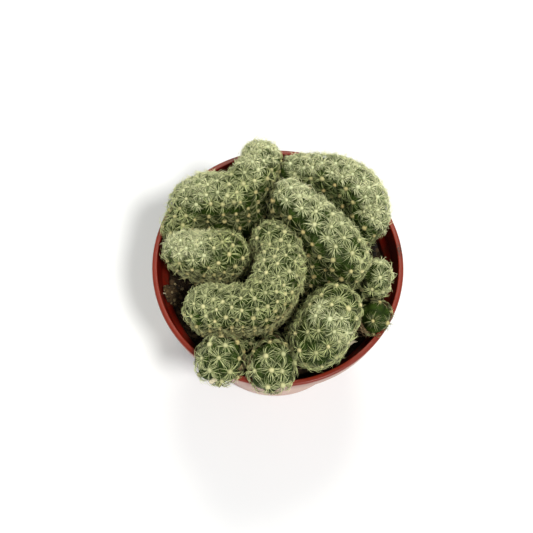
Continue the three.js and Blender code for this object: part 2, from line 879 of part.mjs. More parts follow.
// Band between two loops that both run anticlockwise around an areole
function bandAround(shell, outer, inner) {
  const full = 2 * Math.PI;
  const wrap = (a) => a - full * Math.floor(a / full);
  const base = inner[0].angle;
  const spun = outer.map((o) => ({ id: o.id, angle: wrap(o.angle - base) }));
  let first = 0;
  spun.forEach((o, k) => {
    if (o.angle < spun[first].angle) first = k;
  });
  const ring = spun.map((_, k) => spun[(first + k) % spun.length]);
  const angleOf = (list, k) => list[k % list.length].angle + full * Math.floor(k / list.length);
  const core = inner.map((m) => ({ id: m.id, angle: wrap(m.angle - base) }));
  core[0].angle = 0;
  let i = 0;
  let j = 0;
  while (i < core.length || j < ring.length) {
    const nextInner = (angleOf(core, i) + angleOf(core, i + 1)) / 2;
    const nextOuter = (angleOf(ring, j) + angleOf(ring, j + 1)) / 2;
    const inward = j >= ring.length || (i < core.length && nextInner < nextOuter);
    const m = core[i % core.length].id;
    const c = ring[j % ring.length].id;
    if (inward) {
      shell.face(m, c, core[(i + 1) % core.length].id);
      i += 1;
    } else {
      shell.face(m, c, ring[(j + 1) % ring.length].id);
      j += 1;
    }
  }
}

// Soil: a lumpy cake in the pot with a plain hole for the foot of every lobe

function soilHeight(x, y) {
  const broad = Math.sin(x * 0.31 + 1.2) * Math.cos(y * 0.27 - 0.4);
  const fine = Math.sin(x * 0.83 - y * 0.61 + 0.7);
  return SOIL_TOP + SOIL_LUMP * (broad + 0.7 * fine);
}

function footHole(fin) {
  const ring = fin.footTurns.map((turn) => fin.surface(turn, 3, HOLE_CLEARANCE).p);
  const count = ring.length;
  const outline = ring.map((p) => new THREE.Vector2(p.x, p.y));
  const caps = THREE.ShapeUtils.triangulateShape(outline, []);
  const shell = new Shell();
  const low = ring.map((p) => shell.point(vec(p.x, p.y, FOOT_BOTTOM - GAP)));
  const high = ring.map((p) => shell.point(vec(p.x, p.y, POT_HEIGHT)));
  for (let i = 0; i < count; i += 1) {
    const j = (i + 1) % count;
    shell.face(low[i], low[j], high[j]);
    shell.face(low[i], high[j], high[i]);
  }
  for (const [a, b, c] of caps) {
    shell.face(high[a], high[b], high[c]);
    shell.face(low[a], low[c], low[b]);
  }
  return shell.solid();
}

function buildSoil() {
  const shell = new Shell();
  const bottomZ = FLOOR_THICKNESS + GAP + 0.8;
  const spot = (radius, angle, z) => vec(radius * Math.cos(angle), radius * Math.sin(angle), z);
  const ringOf = (radius, z, phase) => {
    const ring = [];
    for (let i = 0; i < SOIL_SIDES; i += 1) {
      const angle = (2 * Math.PI * (i + phase)) / SOIL_SIDES;
      const x = radius * Math.cos(angle);
      const y = radius * Math.sin(angle);
      ring.push(shell.point(spot(radius, angle, z === null ? soilHeight(x, y) : z)));
    }
    return ring;
  };
  const strip = (low, high) => {
    for (let i = 0; i < SOIL_SIDES; i += 1) {
      const j = (i + 1) % SOIL_SIDES;
      shell.face(low[i], low[j], high[j]);
      shell.face(low[i], high[j], high[i]);
    }
  };
  const bottom = ringOf(wallInnerRadius(bottomZ) - GAP, bottomZ, 0);
  const edge = ringOf(wallInnerRadius(SOIL_TOP - 0.6) - GAP, SOIL_TOP - 0.6, 0);
  const under = shell.point(vec(0, 0, bottomZ));
  for (let i = 0; i < SOIL_SIDES; i += 1) {
    shell.face(under, bottom[(i + 1) % SOIL_SIDES], bottom[i]);
  }
  strip(bottom, edge);
  let outer = edge;
  for (const radius of [...SOIL_RINGS].reverse()) {
    const ring = ringOf(radius, null, 0);
    strip(outer, ring);
    outer = ring;
  }
  const crown = shell.point(vec(0, 0, soilHeight(0, 0)));
  for (let i = 0; i < SOIL_SIDES; i += 1) {
    shell.face(outer[i], outer[(i + 1) % SOIL_SIDES], crown);
  }
  let soil = shell.solid();
  for (const fin of fins) soil = soil.subtract(footHole(fin));
  return soil;
}

// Husk: a thin arched flake with pointed ends
function buildHusk() {
  const shell = new Shell();
  const across = 8;
  const floor = SOIL_TOP + 1.35;
  const tops = [];
  const lows = [];
  const place = (along, side, z) => {
    const c = Math.cos(HUSK_HEADING);
    const s = Math.sin(HUSK_HEADING);
    const [x, y] = HUSK_CENTRE;
    return shell.point(vec(x + along * c - side * s, y + along * s + side * c, z));
  };
  for (let i = 0; i <= across; i += 1) {
    const u = (2 * i) / across - 1;
    const along = u * HUSK_HALF_LENGTH;
    const half = HUSK_HALF_WIDTH * Math.sqrt(Math.max(0.04, 1 - u * u));
    const arch = floor + HUSK_ARCH * (1 - u * u);
    const back = place(along, 0, arch + HUSK_THICKNESS);
    tops.push([place(along, -half, arch), back, place(along, half, arch)]);
    lows.push(place(along, 0, arch - HUSK_THICKNESS * 0.3));
  }
  for (let i = 0; i < across; i += 1) {
    const [a, b, c] = tops[i];
    const [d, e, f] = tops[i + 1];
    shell.face(a, d, e);
    shell.face(a, e, b);
    shell.face(b, e, f);
    shell.face(b, f, c);
    shell.face(c, f, lows[i + 1]);
    shell.face(c, lows[i + 1], lows[i]);
    shell.face(lows[i], lows[i + 1], d);
    shell.face(lows[i], d, a);
  }
  const [a, b, c] = tops[0];
  shell.face(a, b, lows[0]);
  shell.face(b, c, lows[0]);
  const [d, e, f] = tops[across];
  shell.face(d, lows[across], e);
  shell.face(e, lows[across], f);
  return shell.solid();
}

// Room that the rim takes out of a lobe that leans over it
function rimRoom() {
  const inner = RIM_INNER_RADIUS - RIM_CUT;
  const outer = RIM_OUTER_RADIUS + RIM_CUT;
  const top = POT_HEIGHT + RIM_CUT;
  const disc = (radius, low, high) =>
    turned(
      [
        [0, low],
        [radius, low],
        [radius, high],
        [0, high],
      ],
      POT_SIDES,
    );
  const well = turned(
    [
      [0, FLOOR_THICKNESS],
      [wallInnerRadius(COLLAR_BOTTOM) - 1.5, COLLAR_BOTTOM],
      [STEP_RADIUS - RIM_CUT, STEP_TOP],
      [inner, POT_HEIGHT - 0.8],
      [inner + 0.4, top + 1],
      [0, top + 1],
    ],
    POT_SIDES,
  );
  return disc(outer, COLLAR_BOTTOM, top).subtract(well);
}

const cactus = new THREE.Group();
cactus.name = "potted_brain_cactus";
const plans = fins.map((fin, i) => planLobe(fin, 101 + 17 * i));
cactus.add(meshFromSolid("pot", buildPot(), COLOURS.pot));
cactus.add(meshFromSolid("soil", buildSoil(), COLOURS.soil));
cactus.add(meshFromSolid("husk", buildHusk(), COLOURS.husk));

const rim = rimRoom();
const areoles = plans.flatMap((plan) =>
  plan.corners.filter((corner) => corner.areole).map((corner) => ({ plan, corner })),
);
for (const plan of plans) {
  let body = growLobe(plan, areoles).solid();
  if (body.intersect(rim).volume() > 0) body = body.subtract(rim);
  cactus.add(meshFromSolid(plan.fin.lobe.name, body, COLOURS.skin));
}

export default cactus;
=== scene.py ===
"""A potted brain cactus: folded crests under interlaced spines, crowding a small plastic pot."""

import math

import bmesh
import bpy
import numpy as np
from bpy.props import FloatProperty, FloatVectorProperty, IntProperty, PointerProperty
from mathutils import Matrix, Vector


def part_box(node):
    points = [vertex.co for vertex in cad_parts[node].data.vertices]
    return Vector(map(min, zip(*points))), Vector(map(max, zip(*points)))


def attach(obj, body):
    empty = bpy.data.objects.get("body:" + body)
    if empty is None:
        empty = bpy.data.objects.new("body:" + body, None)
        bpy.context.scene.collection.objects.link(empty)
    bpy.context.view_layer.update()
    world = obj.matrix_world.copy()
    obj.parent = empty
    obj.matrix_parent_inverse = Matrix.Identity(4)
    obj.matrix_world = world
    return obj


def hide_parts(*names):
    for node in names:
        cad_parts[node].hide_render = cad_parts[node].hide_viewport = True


bl_info = {
    "name": "Potted Brain Cactus",
    "version": (1, 0, 0),
    "blender": (4, 5, 0),
    "location": "3D View > Sidebar > Cactus",
    "description": "Dresses the potted brain cactus with skin, areoles, spines, soil and pot",
    "category": "Object",
}

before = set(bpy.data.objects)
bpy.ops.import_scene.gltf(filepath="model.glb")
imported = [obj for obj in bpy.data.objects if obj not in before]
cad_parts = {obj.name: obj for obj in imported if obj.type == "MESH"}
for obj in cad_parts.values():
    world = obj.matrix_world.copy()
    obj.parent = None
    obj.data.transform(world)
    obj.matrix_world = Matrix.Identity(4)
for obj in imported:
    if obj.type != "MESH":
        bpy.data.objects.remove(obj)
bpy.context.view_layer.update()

# Sizes below are in millimetres
MM = 0.001

POT_LOW, POT_HIGH = (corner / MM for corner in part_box("pot"))
POT_HEIGHT = POT_HIGH.z - POT_LOW.z
RIM_OUTER_RADIUS = (POT_HIGH.x - POT_LOW.x) / 2
RIM_INNER_RADIUS = RIM_OUTER_RADIUS - 1.9
COLLAR_BOTTOM = POT_HEIGHT - 9.5
COLLAR_RADIUS = RIM_OUTER_RADIUS - 1.0
BODY_TOP_RADIUS = RIM_OUTER_RADIUS - 3.3
BASE_RADIUS = 29.5
FLOOR_THICKNESS = 1.6
WALL = 1.2
LIP_DEPTH = 0.8
STEP_BOTTOM = POT_HEIGHT - 10.6
STEP_TOP = POT_HEIGHT - 8.4
STEP_RADIUS = RIM_OUTER_RADIUS - 2.8
DRAIN_COUNT = 6
DRAIN_RADIUS = 2.6
DRAIN_CIRCLE = 20
DRAIN_SIDES = 32
SOIL_TOP = 57.0
SHOULDER_BASE = 59.2
FOOT_BOTTOM = 50.0
HEAP_X = -38.6
HEAP_Y = -8.3
HEAP_RADIUS = 3.4
HEAP_HEIGHT = 9.0
LOBE_GAP = 0.35
RIM_GAP = 0.35

# How fine the lobes are: steps along and round the ridge, over the dome and down the flank,
# and how the balls that fill a lobe are laid
RIDGE_STEP = 0.65
DOME_STEP = 0.6
FLANK_STEP = 0.75
SLOPE_PROBE = 0.4
CORE_STEP = 1.4
CORE_DROP = 1.5
CORE_DEPTH = 30
CORE_BURIED = 6

# How far round a neighbouring lobe is searched, and how skin gives way to it and to the pot
SEARCH = 2.0
WIDE_SEARCH = 3.0
YIELD_STEP = 0.12
LOBE_YIELD_TURNS = 30
POT_YIELD_TURNS = 40

# How areoles spread: the lowest level that has them, the widest gap in spacings, rounds of settling,
# and how full the dome of a tubercle is
LOWEST_AREOLE_LEVEL = 1.97
WIDEST_GAP = 0.84
GAP_JITTER = 0.1
SETTLING_ROUNDS = 12
FACES_UP = 0.05
DOME_POWER = 1.7

# Points and pairs of points that are measured at once, so that memory holds them
POINTS_AT_ONCE = 4000
PAIRS_AT_ONCE = 6_000_000

# A lobe has foot, the half thickness where it enters the soil; neck, the height over which it
# widens; spacing of the areoles; cover, how densely spines stand; dry, how brown its old growth is;
# old_side, the direction in which its growth is older; and, where given, least_age, how old it is
# at least, and length, which shortens its spines and areoles.
# Each station is a place along its ridge: ridge x, ridge y, height of the ridge, half thickness,
# foot x, foot y, and how young the growth is there, from 0 to 1.
# The areoles listed are the clear ones in the photograph, by x and y; the rest fill in between.
# Ridges and areoles were picked in the photograph. Scratch programs turned most of the picks into
# millimetres through the fitted camera, and they were rounded, some also changed by hand
LOBES = {
    "crest_back_left": {
        "foot": 7.5,
        "neck": 20,
        "spacing": 3.7,
        "cover": 0.97,
        "dry": 0.5,
        "old_side": (0.2, -0.9),
        "stations": [
            (-33.6, 10.2, 79, 4.3, -25, 10.5, 0),
            (-32.1, 13.6, 82, 4.9, -24, 12, 0.1),
            (-28.9, 17.8, 85, 6.4, -22, 14, 0.8),
            (-24.1, 19.7, 88, 6.9, -19, 14.5, 0.8),
            (-18.2, 18.7, 89, 6.5, -14, 14.5, 0.5),
            (-12.2, 21.1, 90, 6.1, -11, 16, 0.2),
            (-7.5, 27.2, 90, 5.8, -8, 20, 0.9),
            (-5.5, 33, 87, 5.8, -6, 26, 1),
        ],
        "areoles": [
            (-4.5, 22.5), (-7, 19), (-12, 15.5), (-15, 15), (-18.5, 14),
            (-22.5, 14.5), (-6.5, 16.5), (-11, 14), (-8, 13.5), (-34, 12.5),
            (-30.5, 12.5), (-35, 11), (-28, 12), (-32, 10), (-35.5, 8),
        ],
    },
    "crest_left": {
        "foot": 5.0,
        "neck": 12,
        "spacing": 3.6,
        "cover": 1,
        "dry": 0.9,
        "old_side": (0, -0.5),
        "stations": [
            (-31.2, 1.8, 82, 5.7, -26.5, 1, 1),
            (-25.4, 0.5, 84, 6.3, -22.5, 0.5, 0.9),
            (-19.7, 0.2, 85, 6.6, -18, 0, 0.2),
            (-16.7, 0.8, 84, 6.3, -15.5, 0.5, 0),
        ],
        "areoles": [
            (-21, -0.5), (-15, 1), (-11.5, 3), (-16, -2), (-23.5, -2.5),
            (-12, -2.5), (-19, -4.5), (-28, -5), (-22.5, -5.5), (-14, -4.5),
        ],
    },
    "crest_centre": {
        "foot": 5.5,
        "neck": 15,
        "spacing": 3.2,
        "cover": 0.84,
        "dry": 0.9,
        "old_side": (0.1, -0.6),
        "stations": [
            (-2.2, 2.6, 90, 5.2, -3, 1, 0.2),
            (0.6, -2.3, 92, 6.4, -0.5, -3, 0.25),
            (0.3, -8.3, 93, 6.7, -0.5, -8, 0.35),
            (-2.0, -15, 93, 6.8, -2.5, -13, 0.25),
            (-7.2, -19, 91, 6.5, -7.5, -16, 0.2),
            (-14.7, -20.1, 89, 6.3, -14, -17, 0.3),
            (-23.1, -19, 86, 6.7, -21, -16.5, 0.4),
        ],
        "areoles": [
            (-0.5, -9.5), (-1.5, -6.5), (-0.5, -13), (4.5, -7), (5, -11.5),
            (1.5, -15), (-1, -18), (3.5, -17), (-8, -20), (1.5, -20.5),
            (-17.5, -20), (-21, -18.5), (-14.5, -18.5),
        ],
    },
    "crest_back_right": {
        "foot": 7.0,
        "neck": 20,
        "spacing": 4.2,
        "cover": 1.05,
        "dry": 0,
        "old_side": (-1.3, -0.8),
        "stations": [
            (5.9, 30, 83, 4.6, 5, 23, 1),
            (13.3, 29, 86, 5.1, 11, 21.5, 1),
            (20.5, 26.6, 88, 5.4, 15.5, 18.5, 1),
            (26, 22.8, 88, 5.8, 18.5, 15.5, 1),
            (29.4, 18.2, 87, 6.1, 20.5, 13.5, 1),
            (31.0, 13.4, 84, 5.4, 22, 10.5, 0.9),
        ],
        "areoles": [
            (10.5, 25.5), (15, 24.5), (17, 25.5), (24.5, 24), (19, 22),
            (22, 20.5), (26, 20), (15, 23), (18, 21), (28.5, 17),
            (25, 16), (22, 17.5), (28.5, 13), (26.5, 9.5), (23.5, 13.5),
            (33.5, 10),
        ],
    },
    "crest_diagonal": {
        "foot": 7.5,
        "neck": 20,
        "spacing": 4.4,
        "cover": 1,
        "dry": 0.5,
        "old_side": (-1.1, -0.9),
        "stations": [
            (3.6, 15.7, 93, 5.4, 4, 11, 1),
            (8, 11.4, 94, 6.2, 6, 6.5, 0.8),
            (12.8, 6.2, 94, 6.7, 9, 2, 0.65),
            (18.2, 1.3, 92, 7.0, 13, -3, 0.6),
            (22.4, -2.8, 89, 6.6, 17, -5.5, 0.3),
        ],
        "areoles": [
            (9.5, 14), (12, 8), (16.5, 4), (8.5, 2.5), (11, -0.5),
            (15, 0.5), (18, -5.5), (20.5, 1), (25.5, 1), (28, -2.5),
            (23, -3.5), (4, 8), (4.5, 5.5), (22.5, -8.5), (26, -8),
            (15.5, -6),
        ],
    },
    "crest_front_right": {
        "foot": 8.0,
        "neck": 15,
        "spacing": 4.7,
        "cover": 1.1,
        "dry": 0.4,
        "old_side": (-0.2, 0.1),
        "stations": [
            (18.1, -19.9, 87, 7.6, 14, -16.5, 0.15),
            (15.3, -24.9, 88, 8.0, 11.5, -20.5, 0.9),
            (12.6, -29.2, 85, 7.9, 9.5, -24.5, 0.1),
        ],
        "areoles": [
            (16.5, -21), (18.5, -18.5), (11.5, -24.5), (15.5, -25.5), (19, -25),
            (9.5, -28.5), (12.5, -28.5), (17, -29), (21, -28.5), (18.5, -31),
            (15, -33), (12, -34.5), (5.5, -28.5), (10.5, -19.5), (7.5, -24),
        ],
    },
    "head_front_left": {
        "foot": 4.6,
        "neck": 17,
        "spacing": 5,
        "cover": 0.85,
        "dry": 0.3,
        "old_side": (0.9, 0.4),
        "stations": [
            (-18.2, -34.6, 83, 6.6, -15.2, -26.2, 0.3),
            (-18.9, -35.8, 82, 6.7, -15.6, -26.9, 0.3),
        ],
        "areoles": [
            (-19, -36.5), (-13, -35.5), (-21.5, -32), (-17, -32.5), (-21.5, -40),
            (-15.5, -39.5),
        ],
    },
    "head_front_middle": {
        "foot": 5.0,
        "neck": 17,
        "spacing": 4.9,
        "cover": 0.9,
        "dry": 0.3,
        "old_side": (0, 0.9),
        "stations": [
            (-2.2, -36.2, 83, 6.4, -1.5, -26, 0.3),
            (-2.4, -38.7, 81, 6.5, -1.5, -27.3, 0.3),
        ],
        "areoles": [
            (-4, -36), (1, -35), (1, -40), (-7, -39.5), (-2.5, -40),
        ],
    },
    "head_right_low": {
        "foot": 3.0,
        "neck": 10,
        "spacing": 5.2,
        "cover": 1.6,
        "least_age": 0.9,
        "length": 0.75,
        "dry": 0.5,
        "old_side": (-0.8, 0.3),
        "stations": [
            (32.3, -18.4, 75, 4.4, 26.5, -14.8, 0),
            (32.3, -20, 75, 4.4, 26.5, -15.8, 0),
        ],
        "areoles": [
            (31, -21.5), (33.5, -15.5), (35, -22), (36.5, -18),
        ],
    },
    "head_right": {
        "foot": 3.0,
        "neck": 10,
        "spacing": 4.4,
        "cover": 1.2,
        "dry": 0.2,
        "old_side": (-0.5, 0),
        "stations": [
            (32.8, -6.2, 80, 4.0, 27.5, -4.6, 0.6),
            (32.4, -8.4, 79, 4.1, 27.3, -6, 0.6),
        ],
        "areoles": [
            (33, -4), (33, -8.5), (31, -11.5), (36.5, -9.5),
        ],
    },
    "head_small": {
        "foot": 2.2,
        "neck": 7,
        "spacing": 4,
        "cover": 0.7,
        "dry": 0.6,
        "old_side": (0, 0),
        "stations": [
            (-10.4, -30, 72, 2.8, -8.4, -25.2, 0),
            (-9.9, -29.4, 72, 2.8, -8.2, -24.6, 0),
        ],
        "areoles": [
            (-9, -28.5),
        ],
    },
}

# Where dead fibres hang: lobe, side it is on, first and last level, how many
DEAD_FIBRES = (
    ("head_right_low", (0.1, -1.0), (1.05, 1.6), 170),
    ("head_front_left", (0.9, 0.5), (0.8, 1.5), 60),
    ("head_front_middle", (-0.7, 0.7), (0.8, 1.5), 70),
    ("crest_centre", (-0.2, -1.0), (1.0, 1.5), 60),
)


# Settings that a user would change


def colour_setting(name, description, default):
    return FloatVectorProperty(
        name=name,
        description=description,
        subtype="COLOR",
        size=3,
        min=0.0,
        max=1.0,
        default=default,
    )


def size_setting(name, description, default, low, high):
    description += ", in millimetres"
    return FloatProperty(name=name, description=description, default=default, min=low, max=high)


def count_setting(name, description, default, low, high):
    return IntProperty(name=name, description=description, default=default, min=low, max=high)


class PotSettings(bpy.types.PropertyGroup):
    """The plastic pot."""

    colour: colour_setting("Plastic", "Colour of the pot's plastic", (0.190, 0.0160, 0.0050))
    sides: count_setting("Sides", "Faces round the pot", 144, 24, 256)


class SoilSettings(bpy.types.PropertyGroup):
    """The potting soil."""

    colour: colour_setting("Peat", "Colour of the moist peat", (0.018, 0.0105, 0.005))
    crumbs: count_setting("Crumbs", "Loose crumbs on the surface", 2400, 0, 4000)


class PlantSettings(bpy.types.PropertyGroup):
    """Skin, areoles and spines."""

    skin: colour_setting("Skin", "Green of the skin on a flank", (0.028, 0.053, 0.006))
    wool: colour_setting("Wool", "Cream of a fresh areole", (0.62, 0.57, 0.28))
    spine: colour_setting("Spine", "Pale colour of the spines", (0.47, 0.51, 0.225))
    rise: size_setting("Tubercle rise", "Height of a tubercle's top above the smooth form", 0.4, 0, 2)
    valley: size_setting("Valley depth", "Depth between tubercles below the smooth form", 0.45, 0, 2)
    unevenness: size_setting("Unevenness", "Height of the slow swellings of the skin", 0.45, 0, 2)
    spines: count_setting("Spines", "Spines round one areole where they are closest", 78, 4, 80)
    spine_length: size_setting("Spine length", "Length of a spine", 3.9, 1, 8)
    spine_width: size_setting("Spine width", "Thickness of a spine at its root", 0.13, 0.05, 0.6)


# Growth


def smoothstep(low, high, x):
    t = np.clip((x - low) / (high - low), 0.0, 1.0)
    return t * t * (3.0 - 2.0 * t)


def unit(rows):
    """The rows, each at length one."""
    return rows / np.linalg.norm(rows, axis=1)[:, None]


def level_directions(angles):
    """Level directions at the angles, as rows of x and y."""
    return np.column_stack([np.cos(angles), np.sin(angles)])


def tangent_pair(normal):
    """Two directions square to a normal."""
    across = np.array([0.0, 0.0, 1.0]) if abs(normal[2]) < 0.9 else np.array([1.0, 0.0, 0.0])
    first = across - normal * across.dot(normal)
    first /= np.linalg.norm(first)
    return first, np.cross(normal, first)


def extended(rows):
    """The rows with one more at each end, straight on."""
    return np.vstack([2 * rows[0] - rows[1], rows, 2 * rows[-1] - rows[-2]])


def through_stations(stations, steps):
    """Smooth curve through the stations, as rows of the same values."""
    rows = np.array(stations, float)
    padded = extended(rows)
    t = np.linspace(0, len(rows) - 1, steps + 1)
    i = np.minimum(t.astype(int), len(rows) - 2)
    u = (t - i)[:, None]
    a, b, c, d = (padded[i + k] for k in range(4))
    linear = c - a
    square = 2 * a - 5 * b + 4 * c - d
    cube = 3 * b - a - 3 * c + d
    return 0.5 * (2 * b + linear * u + square * u**2 + cube * u**3)


def body_inner_radius(z):
    """Radius of the pot's inner wall below the step."""
    return BASE_RADIUS + z / COLLAR_BOTTOM * (BODY_TOP_RADIUS - BASE_RADIUS) - WALL


def wall_inner_radius(z):
    """Radius of the pot's inner wall at a height, or at each of several."""
    low = body_inner_radius(STEP_BOTTOM)
    step = low + (z - STEP_BOTTOM) / (STEP_TOP - STEP_BOTTOM) * (STEP_RADIUS - low)
    reach = np.clip((z - STEP_TOP) / (POT_HEIGHT - LIP_DEPTH - STEP_TOP), 0, 1)
    collar = STEP_RADIUS + reach * (RIM_INNER_RADIUS - STEP_RADIUS)
    return np.where(z >= STEP_TOP, collar, np.where(z >= STEP_BOTTOM, step, body_inner_radius(z)))


def pot_distance(points):
    """Distance to the upper part of the pot, negative inside the plastic."""
    radius = np.hypot(points[:, 0], points[:, 1])
    z = points[:, 2]
    beside = np.maximum(0, np.maximum(radius - RIM_OUTER_RADIUS, RIM_INNER_RADIUS - radius))
    above = np.hypot(beside, z - POT_HEIGHT)
    inside = wall_inner_radius(z) - radius
    outside = radius - RIM_OUTER_RADIUS
    buried = np.maximum(np.maximum(inside, outside), z - POT_HEIGHT)
    below = np.where(inside >= 0, inside, np.where(outside >= 0, outside, buried))
    return np.where(z > POT_HEIGHT, above, below)


class Fin:
    """The smooth form of one lobe: a fin with a rounded ridge that narrows to a foot."""

    def __init__(self, name, lobe):
        self.name = name
        self.lobe = lobe
        stations = lobe["stations"]
        rough = through_stations(stations, 60)
        self.length = float(np.linalg.norm(np.diff(rough[:, :3], axis=0), axis=1).sum())
        self.steps = max(3, int(math.ceil(self.length / RIDGE_STEP)))
        self.line = through_stations(stations, self.steps)
        ends = extended(self.line)
        self.tangents = unit((ends[2:] - ends[:-2])[:, :2])
        self.radius = float(self.line[:, 3].mean())
        self.centre = float((self.line[:, 2] - self.line[:, 3]).mean())
        self.lay_loop()
        self.fill_core()

    def lay_loop(self):
        """One turn round the fin, anticlockwise from above, as ridge indices and directions."""
        half = max(6, int(math.ceil(math.pi / 2 * self.radius / RIDGE_STEP)))
        right = np.column_stack([self.tangents[:, 1], -self.tangents[:, 0]])
        indices, directions = [], []

        def cap(index, start, end, count):
            angles = np.linspace(start, end, count + 1)
            tx, ty = self.tangents[index]
            c, s = np.cos(angles), np.sin(angles)
            indices.append(np.full(count + 1, index))
            directions.append(np.column_stack([tx * c - ty * s, tx * s + ty * c]))

        cap(0, math.pi, 1.5 * math.pi, half)
        indices.append(np.arange(1, self.steps))
        directions.append(right[1:-1])
        cap(self.steps, -0.5 * math.pi, 0.5 * math.pi, 2 * half)
        indices.append(np.arange(self.steps - 1, 0, -1))
        directions.append(-right[self.steps - 1 : 0 : -1])
        cap(0, 0.5 * math.pi, math.pi, half)
        self.index = np.concatenate(indices)[:-1]
        self.youth = np.clip(self.line[self.index, 6], 0, 1)
        self.direction = np.vstack(directions)[:-1]
        self.old = self.direction @ np.array(self.lobe["old_side"])

    def section(self, rows, z):
        """Middle and half thickness of the fin at a height."""
        centre = rows[:, 2] - rows[:, 3]
        lean = 1 - smoothstep(SHOULDER_BASE, centre, z)
        neck_top = np.minimum(centre, SHOULDER_BASE + self.lobe["neck"])
        width = smoothstep(SHOULDER_BASE, neck_top, z)
        middle = rows[:, :2] + (rows[:, 4:6] - rows[:, :2]) * lean[:, None]
        half = self.lobe["foot"] + (rows[:, 3] - self.lobe["foot"]) * width
        return middle, half

    def ring(self, level):
        """Points and normals all round at a level: 0 ridge, 1 widest, 2 shoulder, 3 buried foot."""
        rows = self.line[self.index]
        centre = rows[:, 2] - rows[:, 3]
        if level <= 1:
            angle = level * math.pi / 2
            flat = math.sin(angle)
            up = math.cos(angle)
            side = self.direction * flat
            points = np.column_stack([rows[:, :2] + side * rows[:, 3:4], centre + up * rows[:, 3]])
            return points, np.column_stack([side, np.full(len(rows), up)])
        if level <= 2:
            z = centre + (SHOULDER_BASE - centre) * (level - 1)
        else:
            z = np.full(len(rows), SHOULDER_BASE + (FOOT_BOTTOM - SHOULDER_BASE) * (level - 2))
        middle, half = self.section(rows, z)
        lower, thin = self.section(rows, z - SLOPE_PROBE)
        points = np.column_stack([middle + self.direction * half[:, None], z])
        slope = (((middle - lower) * self.direction).sum(1) + half - thin) / SLOPE_PROBE
        return points, unit(np.column_stack([self.direction, -slope if level <= 2 else 0 * slope]))

    def fill_core(self):
        """Balls that fill the fin, for distances to it."""
        balls = []
        stride = max(1, int(round(CORE_STEP / (self.length / self.steps))))
        rows = self.line[::stride]
        for depth in np.arange(0, CORE_DEPTH, CORE_DROP):
            z = rows[:, 2] - rows[:, 3] - depth
            kept = z > SHOULDER_BASE - CORE_BURIED
            if not kept.any():
                break
            middle, half = self.section(rows[kept], z[kept])
            balls.append(np.column_stack([middle, z[kept], half]))
        self.core = np.vstack(balls)
        self.low = (self.core[:, :3] - self.core[:, 3:]).min(0)
        self.high = (self.core[:, :3] + self.core[:, 3:]).max(0)

    def distance(self, points):
        """Distance of each point to the fin, negative inside it."""
        best = np.full(len(points), np.inf)
        for start in range(0, len(points), POINTS_AT_ONCE):
            part = points[start : start + POINTS_AT_ONCE]
            apart = np.linalg.norm(part[:, None] - self.core[None, :, :3], axis=2)
            best[start : start + POINTS_AT_ONCE] = (apart - self.core[None, :, 3]).min(1)
        return best


